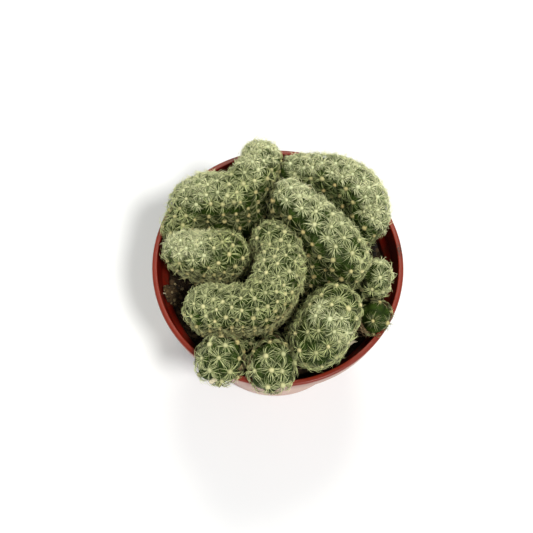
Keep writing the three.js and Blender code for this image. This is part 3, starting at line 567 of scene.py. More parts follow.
class Growth:
    """All lobes with their fine skins and areoles, worked out once."""

    def __init__(self):
        self.fins = {name: Fin(name, lobe) for name, lobe in LOBES.items()}
        self.skins = {}
        self.areoles = {}

    def to_neighbours(self, fin, points, margin):
        """Distance to the nearest other lobe, where one is within the margin."""
        best = np.full(len(points), np.inf)
        for other in self.fins.values():
            if other is fin:
                continue
            near = ((points > other.low - margin) & (points < other.high + margin)).all(1)
            if near.any():
                best[near] = np.minimum(best[near], other.distance(points[near]))
        return best

    def give_way(self, fin, points, normals):
        """Skin gives way to the neighbouring lobes and to the pot."""
        active = np.flatnonzero(self.to_neighbours(fin, points, SEARCH) < WIDE_SEARCH)
        for _ in range(LOBE_YIELD_TURNS):
            if not len(active):
                break
            spot = points[active]
            tight = self.to_neighbours(fin, spot, WIDE_SEARCH) - fin.distance(spot) < LOBE_GAP
            active = active[tight]
            points[active] -= normals[active] * YIELD_STEP
        for _ in range(POT_YIELD_TURNS):
            close = np.flatnonzero(pot_distance(points) < RIM_GAP)
            if not len(close):
                break
            radius = np.hypot(points[close, 0], points[close, 1])
            sideways = radius - (RIM_INNER_RADIUS - RIM_GAP)
            upward = POT_HEIGHT + RIM_GAP - points[close, 2]
            lift = upward < sideways
            points[close[lift], 2] += YIELD_STEP
            pulled = close[~lift]
            points[pulled, :2] *= (1 - YIELD_STEP / radius[~lift])[:, None]
        return points

    def young_and_old(self, fin):
        """How young and how old a fin is: young on its ridge, old low down and on its old side."""
        levels = self.levels(fin)[:, None]
        young = (1 - smoothstep(0.35, 1.15, levels * (1 + 0.6 * fin.old))) * fin.youth
        old = np.maximum(smoothstep(1.1, 1.9, levels), fin.old * smoothstep(0.25, 0.9, levels))
        old = np.clip(old, fin.lobe.get("least_age", 0), 1)
        return young * (1 - old), old

    def levels(self, fin):
        dome = int(math.ceil(fin.radius * math.pi / 2 / DOME_STEP))
        flank = int(math.ceil((fin.centre - SHOULDER_BASE) / FLANK_STEP))
        return np.concatenate(
            [
                np.linspace(0, 1, dome + 1),
                np.linspace(1, 2, flank + 1)[1:],
                np.linspace(2, 3, 4)[1:],
            ]
        )

    def smooth_form(self, fin):
        rings = [fin.ring(level) for level in self.levels(fin)]
        points = np.array([ring[0] for ring in rings])
        normals = np.array([ring[1] for ring in rings])
        return points, normals

    def spread_areoles(self, fin, points, normals, seed):
        """Index of the skin's point under each areole.

        Areoles spread evenly, closer together on young growth, and the lobe's listed ones stay put.
        """
        rng = np.random.default_rng(seed)
        levels = self.levels(fin)
        across = np.roll(points, -1, axis=1) - points
        down = np.zeros_like(points)
        down[:-1] = points[1:] - points[:-1]
        area = np.linalg.norm(np.cross(across, down), axis=2)
        young, old = self.young_and_old(fin)
        spacing = fin.lobe["spacing"] * (1.08 - 0.32 * young + 0.02 * old)
        weight = area / spacing**2
        weight[levels > LOWEST_AREOLE_LEVEL] = 0
        every = points.reshape(-1, 3)
        usable = np.flatnonzero(weight.ravel() > 0)[::2]
        cloud = every[usable]
        mass = weight.ravel()[usable]
        room = spacing.ravel()[usable]
        upper = cloud[normals.reshape(-1, 3)[usable, 2] > FACES_UP]
        listed = fin.lobe["areoles"]
        pinned = [upper[((upper[:, :2] - pin) ** 2).sum(1).argmin()] for pin in listed]
        centres = list(pinned)
        gap = nearest(cloud, np.array(centres))[1] / room
        gap *= 1 + GAP_JITTER * rng.random(len(cloud))
        while gap.max() > WIDEST_GAP:
            centres.append(cloud[gap.argmax()])
            gap = np.minimum(gap, np.linalg.norm(cloud - centres[-1], axis=1) / room)
        centres = np.array(centres)
        count = len(centres)
        for _ in range(SETTLING_ROUNDS):
            owner = nearest(cloud, centres)[0]
            total = np.maximum(np.bincount(owner, mass, count), 1e-9)
            sums = [np.bincount(owner, mass * cloud[:, k], count) for k in range(3)]
            middle = np.column_stack(sums) / total[:, None]
            centres = cloud[nearest(middle, cloud)[0]]
            centres[: len(pinned)] = pinned
        return nearest(centres, every)[0]


def nearest(points, targets, second=False):
    """Index of and distance to the nearest target; with second, also the next distance."""
    index = np.zeros(len(points), int)
    first = np.zeros(len(points))
    other = np.zeros(len(points))
    chunk = max(1, PAIRS_AT_ONCE // max(1, len(targets)))
    for start in range(0, len(points), chunk):
        part = points[start : start + chunk]
        squares = (part**2).sum(1)[:, None] - 2 * part @ targets.T + (targets**2).sum(1)[None]
        reach = np.sqrt(np.maximum(squares, 0))
        stop = start + len(part)
        index[start:stop] = reach.argmin(1)
        if second:
            two = np.partition(reach, 1, axis=1)[:, :2]
            first[start:stop] = two[:, 0]
            other[start:stop] = two[:, 1]
        else:
            first[start:stop] = reach[np.arange(len(part)), index[start:stop]]
    return (index, first, other) if second else (index, first)


def swell(points, seed):
    """Slow unevenness of a grown surface, about -1 to 1, with waves 8 to 16 mm long."""
    shortest = 8.0
    rng = np.random.default_rng(300 + seed)
    total = np.zeros(len(points))
    for _ in range(7):
        wave = rng.normal(size=3)
        wave *= 2 * math.pi / (np.linalg.norm(wave) * (shortest + shortest * rng.random()))
        phase = 6.3 * rng.random()
        total += np.sin(points @ wave + phase)
    return total / 3.0


def grow(settings):
    """Fine skins and areoles of every lobe."""
    growth = Growth()
    for seed, fin in enumerate(growth.fins.values()):
        points, normals = growth.smooth_form(fin)
        rows, around = points.shape[:2]
        home = growth.spread_areoles(fin, points, normals, 40 + seed)
        flat = points.reshape(-1, 3)
        flat_normals = normals.reshape(-1, 3)
        _, first, other = nearest(flat, flat[home], second=True)
        edge = np.clip(2 * first / np.maximum(first + other, 1e-6), 0, 1)
        dome = 1 - edge**DOME_POWER
        buried = smoothstep(1.9, 2.1, np.repeat(growth.levels(fin), around))
        relief = (settings.rise + settings.valley) * dome - settings.valley
        relief = relief + settings.unevenness * swell(flat, seed)
        raised = flat + flat_normals * (relief * (1 - buried))[:, None]
        raised = growth.give_way(fin, raised, flat_normals)
        young, age = (part.ravel() for part in growth.young_and_old(fin))
        growth.skins[fin.name] = {
            "points": raised,
            "rows": rows,
            "around": around,
            "dome": dome,
            "young": young,
        }
        growth.areoles[fin.name] = {
            "points": raised[home],
            "normals": flat_normals[home],
            "young": young[home],
            "age": age[home],
        }
    return growth


GROWN = {}


def grown():
    """The growth, worked out when the first operator asks for it."""
    if "growth" not in GROWN:
        GROWN["growth"] = grow(bpy.context.scene.cactus_plant)
    return GROWN["growth"]


# Meshes


def add_piece(name, points, faces, replaced=(), attributes=None):
    """A mesh piece given in millimetres, riding on the frame."""
    mesh = bpy.data.meshes.new(name)
    mesh.from_pydata((np.asarray(points) * MM).tolist(), [], faces)
    for key, values in (attributes or {}).items():
        layer = mesh.attributes.new(key, "FLOAT", "POINT")
        layer.data.foreach_set("value", np.asarray(values, np.float32))
    mesh.shade_smooth()
    mesh.update()
    piece = bpy.data.objects.new(name, mesh)
    bpy.context.scene.collection.objects.link(piece)
    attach(piece, "root")
    if replaced:
        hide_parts(*replaced)
    return piece


def weld(piece, distance=0.02):
    """Merges coincident corners and faces outward."""
    work = bmesh.new()
    work.from_mesh(piece.data)
    bmesh.ops.remove_doubles(work, verts=work.verts, dist=distance * MM)
    bmesh.ops.dissolve_degenerate(work, edges=work.edges, dist=distance * MM * 0.2)
    bmesh.ops.recalc_face_normals(work, faces=work.faces)
    work.to_mesh(piece.data)
    work.free()
    piece.data.update()


def shifted(faces, start):
    """The faces with their corners counted on from a start."""
    return [tuple(start + corner for corner in face) for face in faces]


def turned_faces(rings, sides):
    """Faces of rings of corners round an axis, with one corner before them and one after."""
    last = 1 + (rings - 1) * sides
    faces = []
    for i in range(sides):
        j = (i + 1) % sides
        faces.append((0, 1 + j, 1 + i))
        faces.append((last + i, last + j, last + sides))
        for k in range(rings - 1):
            a = 1 + k * sides
            b = a + sides
            faces.append((a + i, a + j, b + j, b + i))
    return faces


def turned_mesh(profile, sides):
    """Corners and faces of a turned body; the profile starts and ends on the axis."""
    angles = 2 * math.pi * np.arange(sides) / sides
    points = [(0.0, 0.0, profile[0][1])]
    for radius, z in profile[1:-1]:
        points += [(radius * math.cos(a), radius * math.sin(a), z) for a in angles]
    points.append((0.0, 0.0, profile[-1][1]))
    return points, turned_faces(len(profile) - 2, sides)


def needles(lines, taper, thick):
    """Three-sided needles along lines of joints, each with its point at the last joint."""
    count, joints = lines.shape[:2]
    heading = unit(lines[:, -1] - lines[:, 0])
    across = unit(np.cross(heading, np.array([0.31, 0.52, 0.79])))
    other = np.cross(heading, across)
    rings = joints - 1
    corners = 3 * rings + 1
    points = np.zeros((count, corners, 3))
    for k in range(rings):
        for a in range(3):
            swing = 2 * math.pi * a / 3
            side = across * math.cos(swing) + other * math.sin(swing)
            points[:, 3 * k + a] = lines[:, k] + side * (taper[k] * thick / 2)[:, None]
    points[:, -1] = lines[:, -1]
    base = (np.arange(count) * corners)[:, None]
    quads, ends = [], [base + np.array([[2, 1, 0]])]
    for a in range(3):
        b = (a + 1) % 3
        for k in range(rings - 1):
            low, high = 3 * k, 3 * k + 3
            quads.append(base + np.array([[low + a, low + b, high + b, high + a]]))
        last = 3 * (rings - 1)
        ends.append(base + np.array([[last + a, last + b, corners - 1]]))
    faces = np.concatenate(quads).tolist() + np.concatenate(ends).tolist()
    return points.reshape(-1, 3), faces


def rounded(profile, radius=0.35, steps=4):
    """The profile with its corners rounded off."""
    out = [profile[0]]
    for corner in zip(profile, profile[1:], profile[2:]):
        p, q, r = (np.array(spot, float) for spot in corner)
        reach = min(radius, np.linalg.norm(p - q) * 0.45, np.linalg.norm(r - q) * 0.45)
        start = q + (p - q) / np.linalg.norm(p - q) * reach
        end = q + (r - q) / np.linalg.norm(r - q) * reach
        for t in np.linspace(0, 1, steps + 1):
            spot = (1 - t) ** 2 * start + 2 * t * (1 - t) * q + t**2 * end
            out.append((float(spot[0]), float(spot[1])))
    out.append(profile[-1])
    return out


# Shading


class Value:
    """A shader number: Python arithmetic on it adds Math nodes."""

    def __init__(self, recipe, socket):
        self.recipe = recipe
        self.socket = socket

    def __add__(self, other):
        return self.recipe.math("ADD", self, other)

    def __sub__(self, other):
        return self.recipe.math("SUBTRACT", self, other)

    def __rsub__(self, other):
        return self.recipe.math("SUBTRACT", other, self)

    def __mul__(self, other):
        return self.recipe.math("MULTIPLY", self, other)

    __radd__ = __add__
    __rmul__ = __mul__


class Recipe:
    """A material and the nodes that are laid into it; place is the spot in the object's own space."""

    def __init__(self, name):
        self.material = bpy.data.materials.new(name)
        self.material.use_nodes = True
        self.tree = self.material.node_tree
        self.tree.nodes.clear()
        self.shader = self.node("BsdfPrincipled")
        self.node("OutputMaterial", Surface=self.shader.outputs["BSDF"])
        self.place = self.node("TexCoord").outputs["Object"]

    def put(self, socket, value):
        if isinstance(value, Value):
            value = value.socket
        if isinstance(value, bpy.types.NodeSocket):
            self.tree.links.new(value, socket)
        elif hasattr(socket.default_value, "__len__") and hasattr(value, "__len__"):
            room = len(socket.default_value)
            socket.default_value = (tuple(value) + (1.0,))[:room]
        else:
            socket.default_value = value

    def node(self, kind, settings=None, **inputs):
        """A node of a type, its settings first, then its sockets' values or links."""
        made = self.tree.nodes.new("ShaderNode" + kind)
        for key, value in (settings or {}).items():
            setattr(made, key, value)
        for key, value in inputs.items():
            self.put(made.inputs[key.replace("_", " ")], value)
        return made

    def math(self, operation, *values):
        made = self.node("Math", {"operation": operation})
        for socket, value in zip(made.inputs, values):
            self.put(socket, value)
        return Value(self, made.outputs[0])

    def blend(self, factor, low, high):
        made = self.node("Mix", {"data_type": "RGBA"}, Factor=factor)
        self.put(made.inputs[6], low)
        self.put(made.inputs[7], high)
        return made.outputs[2]

    def span(self, value, low, high, to_low=0.0, to_high=1.0):
        made = self.node("MapRange", {"clamp": True})
        for socket, entry in zip(made.inputs, (value, low, high, to_low, to_high)):
            self.put(socket, entry)
        return Value(self, made.outputs[0])

    def attribute(self, name):
        made = self.node("Attribute", {"attribute_name": name})
        return Value(self, made.outputs["Fac"])

    def height(self):
        return Value(self, self.node("SeparateXYZ", Vector=self.place).outputs["Z"])

    def noise(self, scale, detail):
        made = self.node("TexNoise", Scale=scale, Detail=detail, Roughness=0.55, Vector=self.place)
        return Value(self, made.outputs["Fac"])

    def bump(self, height, distance, strength):
        made = self.node("Bump", Strength=strength, Distance=distance * MM, Height=height)
        self.set(Normal=made.outputs["Normal"])

    def set(self, **inputs):
        for key, value in inputs.items():
            self.put(self.shader.inputs[key.replace("_", " ")], value)


def toned(colour, factor):
    return tuple(min(1.0, part * factor) for part in colour)


def skin_recipe(settings):
    """Waxy green skin: darkened in the valleys between tubercles as painted shade, fresher along the
    ridge.
    """
    recipe = Recipe("cactus_skin")
    skin = settings.skin
    patches = recipe.span(recipe.noise(260.0, 3.0), 0.3, 0.7)
    base = recipe.blend(patches, toned(skin, 0.75), toned(skin, 1.2))
    fresh = recipe.blend(recipe.attribute("young") * 0.6, base, (0.075, 0.105, 0.030))
    # Painted shade: where the dome attribute is low, in the valleys between tubercles, the skin is
    # darkened to four tenths.
    shaded_valleys = recipe.blend(recipe.span(recipe.attribute("dome"), 0.0, 0.5), toned(skin, 0.4), fresh)
    fine = recipe.noise(2600.0, 2.0)
    recipe.set(Base_Color=shaded_valleys, Roughness=recipe.span(fine, 0.3, 0.7, 0.5, 0.7))
    recipe.set(Specular_IOR_Level=0.1)
    recipe.bump(fine, 0.05, 0.5)
    return recipe.material


def wool_recipe(settings):
    """Woolly areole: cream when fresh, tan when old."""
    recipe = Recipe("areole_wool")
    wool = settings.wool
    fibre = recipe.noise(5200.0, 2.0)
    grown = recipe.blend(recipe.span(fibre, 0.3, 0.7), toned(wool, 0.85), toned(wool, 1.15))
    dull = recipe.blend(recipe.attribute("tone"), (0.35, 0.36, 0.165), grown)
    fresh = recipe.blend(recipe.attribute("young"), dull, (0.62, 0.66, 0.40))
    aged = recipe.blend(recipe.attribute("age"), fresh, (0.44, 0.35, 0.14))
    recipe.set(Base_Color=aged, Roughness=0.95, Specular_IOR_Level=0.1)
    recipe.bump(fibre, 0.12, 0.8)
    return recipe.material


def spine_recipe(settings):
    """Thin horny spine: pale, a little green where it is young, straw at the tip, with painted shade
    that darkens the spines lying lowest.
    """
    recipe = Recipe("spines")
    spine = settings.spine
    # The tone attribute is mostly painted shade: spines that lie low get a far darker colour, those
    # on top the palest.
    tone = recipe.span(recipe.attribute("tone"), 0.2, 0.8)
    young = recipe.attribute("young")
    along = recipe.attribute("along")
    grown = recipe.blend(tone, toned(spine, 0.12), toned(spine, 1.5))
    green = recipe.blend(tone, (0.030, 0.048, 0.012), (0.32, 0.38, 0.145))
    brown = recipe.blend(tone, (0.034, 0.034, 0.013), (0.38, 0.35, 0.17))
    aged = recipe.blend(recipe.attribute("dry"), green, brown)
    fresh = recipe.blend(tone, (0.24, 0.32, 0.12), (1.0, 1.0, 0.62))
    body = recipe.blend(recipe.span(young, 0.1, 0.9), grown, fresh)
    body = recipe.blend(1 - recipe.span(young, -0.9, 0.0), body, aged)
    root = recipe.blend(0.4, body, (0.09, 0.12, 0.04))
    body = recipe.blend(recipe.span(along, 0.0, 0.35), root, body)
    tipped = recipe.blend(recipe.span(along, 0.6, 1.0, 0.0, 0.75), body, (0.26, 0.25, 0.10))
    recipe.set(Base_Color=tipped, Roughness=0.42, Specular_IOR_Level=0.4)
    return recipe.material


def plastic_recipe(name, plastic):
    """Moulded plastic with fine grain; also its colour, with faint flow marks and pale scuffs."""
    recipe = Recipe(name)
    cloud = recipe.noise(55.0, 4.0)
    grain = recipe.noise(2400.0, 3.0)
    base = recipe.blend(recipe.span(cloud, 0.3, 0.7), toned(plastic, 0.88), toned(plastic, 1.14))
    speck = recipe.span(recipe.noise(900.0, 2.0), 0.64, 0.74)
    scuffed = recipe.blend(speck * 0.4, base, toned(plastic, 1.7))
    recipe.set(Roughness=recipe.span(grain, 0.3, 0.7, 0.30, 0.46))
    recipe.bump(grain, 0.04, 0.3)
    return recipe, scuffed


def pot_recipe(settings):
    """Terracotta-coloured plastic with a dusty bloom at a glancing view and a smear on the rim."""
    recipe, wall = plastic_recipe("pot_plastic", settings.colour)
    smear = recipe.node("VectorMath", {"operation": "DISTANCE"})
    recipe.put(smear.inputs[0], recipe.place)
    recipe.put(smear.inputs[1], (40.9 * MM, 4.6 * MM, POT_HEIGHT * MM))
    mask = 1 - recipe.span(Value(recipe, smear.outputs["Value"]), 1.2 * MM, 3.2 * MM)
    mask = mask * recipe.span(recipe.noise(1400.0, 3.0), 0.42, 0.56)
    recipe.set(Base_Color=recipe.blend(mask, wall, (0.03, 0.015, 0.008)))
    recipe.set(Coat_Weight=0.12, Coat_Roughness=0.2, Specular_IOR_Level=0.2)
    recipe.set(Sheen_Weight=0.21, Sheen_Roughness=0.42, Sheen_Tint=(1.0, 0.80, 0.62))
    return recipe.material


def pot_inside_recipe():
    """Inside of the pot in a darker, redder copy of the plastic, as painted shade and painted red
    reflection, with soil dust above the soil.
    """
    # Painted shade and painted reflection: the inside's colour is darker and redder than the
    # outside's plastic, for the shade and red light bounced inside the pot.
    recipe, wall = plastic_recipe("pot_inside", (0.145, 0.0062, 0.0025))
    low = 1 - recipe.span(recipe.height(), (SOIL_TOP + 1) * MM, (SOIL_TOP + 7) * MM)
    dust = low * recipe.span(recipe.noise(420.0, 4.0), 0.35, 0.65)
    recipe.set(Base_Color=recipe.blend(dust * 0.8, wall, (0.03, 0.018, 0.01)))
    recipe.set(Specular_IOR_Level=0.15)
    return recipe.material


def soil_recipe(settings):
    """Dark peat with brown and pale specks, mossy where it is heaped."""
    recipe = Recipe("potting_soil")
    peat = settings.colour
    broad = recipe.noise(380.0, 5.0)
    fine = recipe.noise(1500.0, 4.0)
    base = recipe.blend(recipe.span(broad, 0.35, 0.65), toned(peat, 0.3), toned(peat, 1.8))
    brown = recipe.blend(recipe.span(fine, 0.56, 0.7), base, (0.06, 0.04, 0.02))
    heaped = recipe.span(recipe.height(), (SOIL_TOP + 1.2) * MM, (SOIL_TOP + 4) * MM)
    speckle = recipe.span(fine, 0.35, 0.65)
    mossy = recipe.blend(speckle, (0.022, 0.011, 0.002), (0.095, 0.055, 0.015))
    recipe.set(Base_Color=recipe.blend(heaped, brown, mossy), Roughness=0.95)
    recipe.set(Specular_IOR_Level=0.15)
    recipe.bump(broad * 0.6 + fine * 0.4, 0.6, 1.0)
    return recipe.material


def crumb_recipe(settings):
    """Crumbs and fibres of the soil, each with its own tone."""
    recipe = Recipe("soil_crumbs")
    tone = recipe.attribute("tone")
    peat = toned(settings.colour, 0.5)
    brown = recipe.blend(recipe.span(tone, 0.3, 0.9), peat, (0.065, 0.036, 0.012))
    mossy = recipe.blend(tone, (0.022, 0.011, 0.003), (0.120, 0.070, 0.020))
    dark = recipe.blend(recipe.attribute("moss"), brown, mossy)
    pale = recipe.blend(recipe.span(tone, 0.93, 0.97), dark, (0.26, 0.20, 0.10))
    recipe.set(Base_Color=pale, Roughness=0.92)
    recipe.bump(recipe.noise(3200.0, 3.0), 0.15, 0.8)
    return recipe.material


def husk_recipe():
    """Dry straw-coloured flake with fine veins."""
    recipe = Recipe("husk")
    bands = {"wave_type": "BANDS"}
    veins = recipe.node("TexWave", bands, Scale=900.0, Distortion=3.0, Vector=recipe.place)
    line = Value(recipe, veins.outputs["Fac"])
    straw = recipe.blend(line, (0.50, 0.43, 0.27), (0.72, 0.66, 0.50))
    recipe.set(Base_Color=straw, Roughness=0.7)
    recipe.bump(line, 0.08, 0.5)
    return recipe.material


def fibre_recipe():
    """Dead fibres, from dark brown to straw."""
    recipe = Recipe("dry_fibres")
    brown = recipe.blend(recipe.attribute("tone"), (0.09, 0.050, 0.020), (0.42, 0.29, 0.15))
    streaks = recipe.span(recipe.noise(2600.0, 2.0), 0.3, 0.7, 0.0, 0.3)
    recipe.set(Base_Color=recipe.blend(streaks, brown, (0.2, 0.15, 0.08)), Roughness=0.8)
    return recipe.material


def floor_recipe():
    """Plain pale floor, faintly mottled."""
    recipe = Recipe("floor")
    mottle = recipe.span(recipe.noise(6.0, 2.0), 0.3, 0.7)
    pale = recipe.blend(mottle, (0.765, 0.78, 0.80), (0.795, 0.81, 0.83))
    recipe.set(Base_Color=pale, Roughness=0.6)
    recipe.set(Emission_Color=(1.0, 1.0, 1.0), Emission_Strength=0.05)
    return recipe.material


# Operators

# A lamp's name, the direction it shines from, its strength, its spread in degrees and its colour
LAMPS = (
    ("key", (0.27, -0.32, 0.91), 2.5, 8, (1.0, 0.98, 0.93)),
    ("front", (0.02, -0.60, 0.80), 0.65, 40, (1.0, 0.99, 0.96)),
    ("back", (0.05, 0.50, 0.86), 1.1, 20, (1.0, 1.0, 0.86)),
)


class CACTUS_OT_stage(bpy.types.Operator):
    """Pale floor, soft studio light and the camera at the photograph's view."""

    bl_idname = "cactus.stage"
    bl_label = "Stage"

    def execute(self, context):
        scene = context.scene
        bpy.ops.mesh.primitive_grid_add(x_subdivisions=2, y_subdivisions=2, size=6.0)
        floor = context.active_object
        floor.name = "floor"
        floor.data.materials.append(floor_recipe())

        world = bpy.data.worlds.new("studio")
        world.use_nodes = True
        sky = world.node_tree.nodes["Background"]
        sky.inputs["Color"].default_value = (0.93, 0.96, 1.0, 1.0)
        sky.inputs["Strength"].default_value = 0.26
        scene.world = world
        for lamp in LAMPS:
            self.light(*lamp)

        scene.view_settings.view_transform = "Standard"
        scene.view_settings.look = "None"
        scene.view_settings.exposure = 0.0
        self.camera(scene)
        return {"FINISHED"}

    @staticmethod
    def light(name, towards, strength, spread, colour):
        """Even light from one direction, as from a large softbox far away."""
        lamp = bpy.data.lights.new(name, "SUN")
        lamp.angle = math.radians(spread)
        lamp.energy = strength
        lamp.color = colour
        holder = bpy.data.objects.new(name, lamp)
        bpy.context.scene.collection.objects.link(holder)
        holder.location = towards
        holder.rotation_euler = Vector(towards).to_track_quat("Z", "Y").to_euler()

    @staticmethod
    def camera(scene):
        """About 20 degrees off vertical, 350 mm from the rim, leaning towards the near side."""
        tilt = math.radians(20.4)
        side = math.radians(-3.0)
        distance = 350.0
        off_middle = Vector((-3.85, -1.25, 0))
        rim = Vector((0, 0, POT_HEIGHT))
        level = Vector((math.sin(side) * math.sin(tilt), -math.cos(side) * math.sin(tilt), 0))
        place = rim + (level + Vector((0, 0, math.cos(tilt)))) * distance
        back = (place - rim - off_middle).normalized()
        right = Vector((0, 1, 0)).cross(back).normalized()
        up = back.cross(right)
        camera = bpy.data.cameras.new("camera")
        camera.sensor_width = 36.0
        camera.lens = 70.1
        camera.clip_start = 0.01
        holder = bpy.data.objects.new("camera", camera)
        scene.collection.objects.link(holder)
        turn = Matrix((right, up, back)).transposed().to_4x4()
        holder.matrix_world = Matrix.Translation(place * MM) @ turn
        scene.camera = holder


class CACTUS_OT_pot(bpy.types.Operator):
    """Moulded pot with a rolled rim, a stepped collar and drain holes."""

    bl_idname = "cactus.pot"
    bl_label = "Pot"

    def execute(self, context):
        settings = context.scene.cactus_pot
        corner_top = FLOOR_THICKNESS + 0.8
        corner_radius = float(wall_inner_radius(corner_top))
        profile = [
            (0.0, 0.0),
            (BASE_RADIUS - 0.4, 0.0),
            (BASE_RADIUS + 0.15, 1.2),
            (BODY_TOP_RADIUS, COLLAR_BOTTOM),
            (COLLAR_RADIUS, COLLAR_BOTTOM),
            (RIM_OUTER_RADIUS, POT_HEIGHT - 0.75),
            (RIM_OUTER_RADIUS - 0.3, POT_HEIGHT),
            (RIM_INNER_RADIUS + 0.1, POT_HEIGHT),
            (RIM_INNER_RADIUS, POT_HEIGHT - 0.7),
            (STEP_RADIUS, STEP_TOP),
            (body_inner_radius(STEP_BOTTOM - 0.001), STEP_BOTTOM),
            (corner_radius, corner_top),
            (corner_radius - 1.2, FLOOR_THICKNESS),
            (0.0, FLOOR_THICKNESS),
        ]
        points, faces = turned_mesh(rounded(profile), settings.sides)
        pot = add_piece("pot_shell", points, faces, ["pot"])
        weld(pot)
        self.drill(pot)
        pot.data.materials.append(pot_recipe(settings))
        pot.data.materials.append(pot_inside_recipe())
        # Faces inside the pot take the second material, whose darker, redder plastic is painted shade
        # and painted reflection.
        middles = np.array([face.center[:] for face in pot.data.polygons]) / MM
        radius = np.hypot(middles[:, 0], middles[:, 1])
        above_floor = middles[:, 2] > FLOOR_THICKNESS - 0.1
        inside = (radius < wall_inner_radius(middles[:, 2]) + 0.2) & above_floor
        pot.data.polygons.foreach_set("material_index", inside.astype(np.int32))
        return {"FINISHED"}

    @staticmethod
    def drill(pot):
        """Cuts the drain holes through the floor."""
        bottom = -1
        top = FLOOR_THICKNESS + 1
        profile = [(0, bottom), (DRAIN_RADIUS, bottom), (DRAIN_RADIUS, top), (0, top)]
        plug, plug_faces = turned_mesh(profile, DRAIN_SIDES)
        points, faces = [], []
        for k in range(DRAIN_COUNT):
            angle = 2 * math.pi * (k + 0.5) / DRAIN_COUNT
            shift = Vector((DRAIN_CIRCLE * math.cos(angle), DRAIN_CIRCLE * math.sin(angle), 0))
            faces += shifted(plug_faces, len(points))
            points += [tuple(Vector(spot) + shift) for spot in plug]
        mesh = bpy.data.meshes.new("drains")
        mesh.from_pydata([tuple(part * MM for part in spot) for spot in points], [], faces)
        cutter = bpy.data.objects.new("drains", mesh)
        bpy.context.scene.collection.objects.link(cutter)
        cut = pot.modifiers.new("drains", "BOOLEAN")
        cut.operation = "DIFFERENCE"
        cut.solver = "EXACT"
        cut.object = cutter
        depsgraph = bpy.context.evaluated_depsgraph_get()
        drilled = bpy.data.meshes.new_from_object(pot.evaluated_get(depsgraph))
        pot.modifiers.clear()
        old = pot.data
        pot.data = drilled
        bpy.data.meshes.remove(old)
        bpy.data.objects.remove(cutter)
        bpy.data.meshes.remove(mesh)
        pot.data.name = "pot_shell"


def soil_height(x, y):
    """Lumpy surface of the soil, with a mossy heap against the wall at the left."""
    broad = np.sin(x * 0.31 + 1.2) * np.cos(y * 0.27 - 0.4)
    fine = np.sin(x * 0.83 - y * 0.61 + 0.7)
    grain = np.sin(x * 2.1 + 3 * np.sin(y * 0.9)) * np.sin(y * 2.3 + 2 * np.sin(x * 1.1))
    heap = HEAP_HEIGHT * np.exp(-((x - HEAP_X) ** 2 + (y - HEAP_Y) ** 2) / HEAP_RADIUS**2)
    return SOIL_TOP + 0.45 * (broad + 0.7 * fine) + 0.35 * grain + heap


def scattered(total, heaped, rng):
    """Spots for crumbs all over the soil, with the first ones on the heap."""
    reach = float(wall_inner_radius(SOIL_TOP)) - 1.0
    radius = reach * np.sqrt(rng.random(total))
    spots = radius[:, None] * level_directions(rng.random(total) * 2 * math.pi)
    spots[:heaped] = np.array([HEAP_X, HEAP_Y]) + rng.normal(size=(heaped, 2)) * HEAP_RADIUS * 0.6
    room = wall_inner_radius(soil_height(spots[:, 0], spots[:, 1])) - 0.8
    far = np.maximum(1, np.linalg.norm(spots, axis=1) / room)
    return spots / far[:, None]


def soil_fibres(spots, moss, rng):
    """Short bent fibres that lie on the soil, as corners and faces."""
    count = len(spots)
    joints = 5
    lines = np.zeros((count, joints, 3))
    heading = rng.random(count) * 2 * math.pi
    length = (1.2 + 2.6 * rng.random(count)) * (1 - 0.4 * moss)
    bend = rng.normal(size=count) * 0.5
    for k in range(joints):
        t = k / (joints - 1) - 0.5
        place = spots * 0.97 + level_directions(heading + bend * t) * (length * t)[:, None]
        rise = 0.35 + 0.3 * math.cos(t * 3)
        lines[:, k] = np.column_stack([place, soil_height(place[:, 0], place[:, 1]) + rise])
    return needles(lines, (0.8, 1.0, 1.0, 0.7), 0.2 - 0.08 * moss)


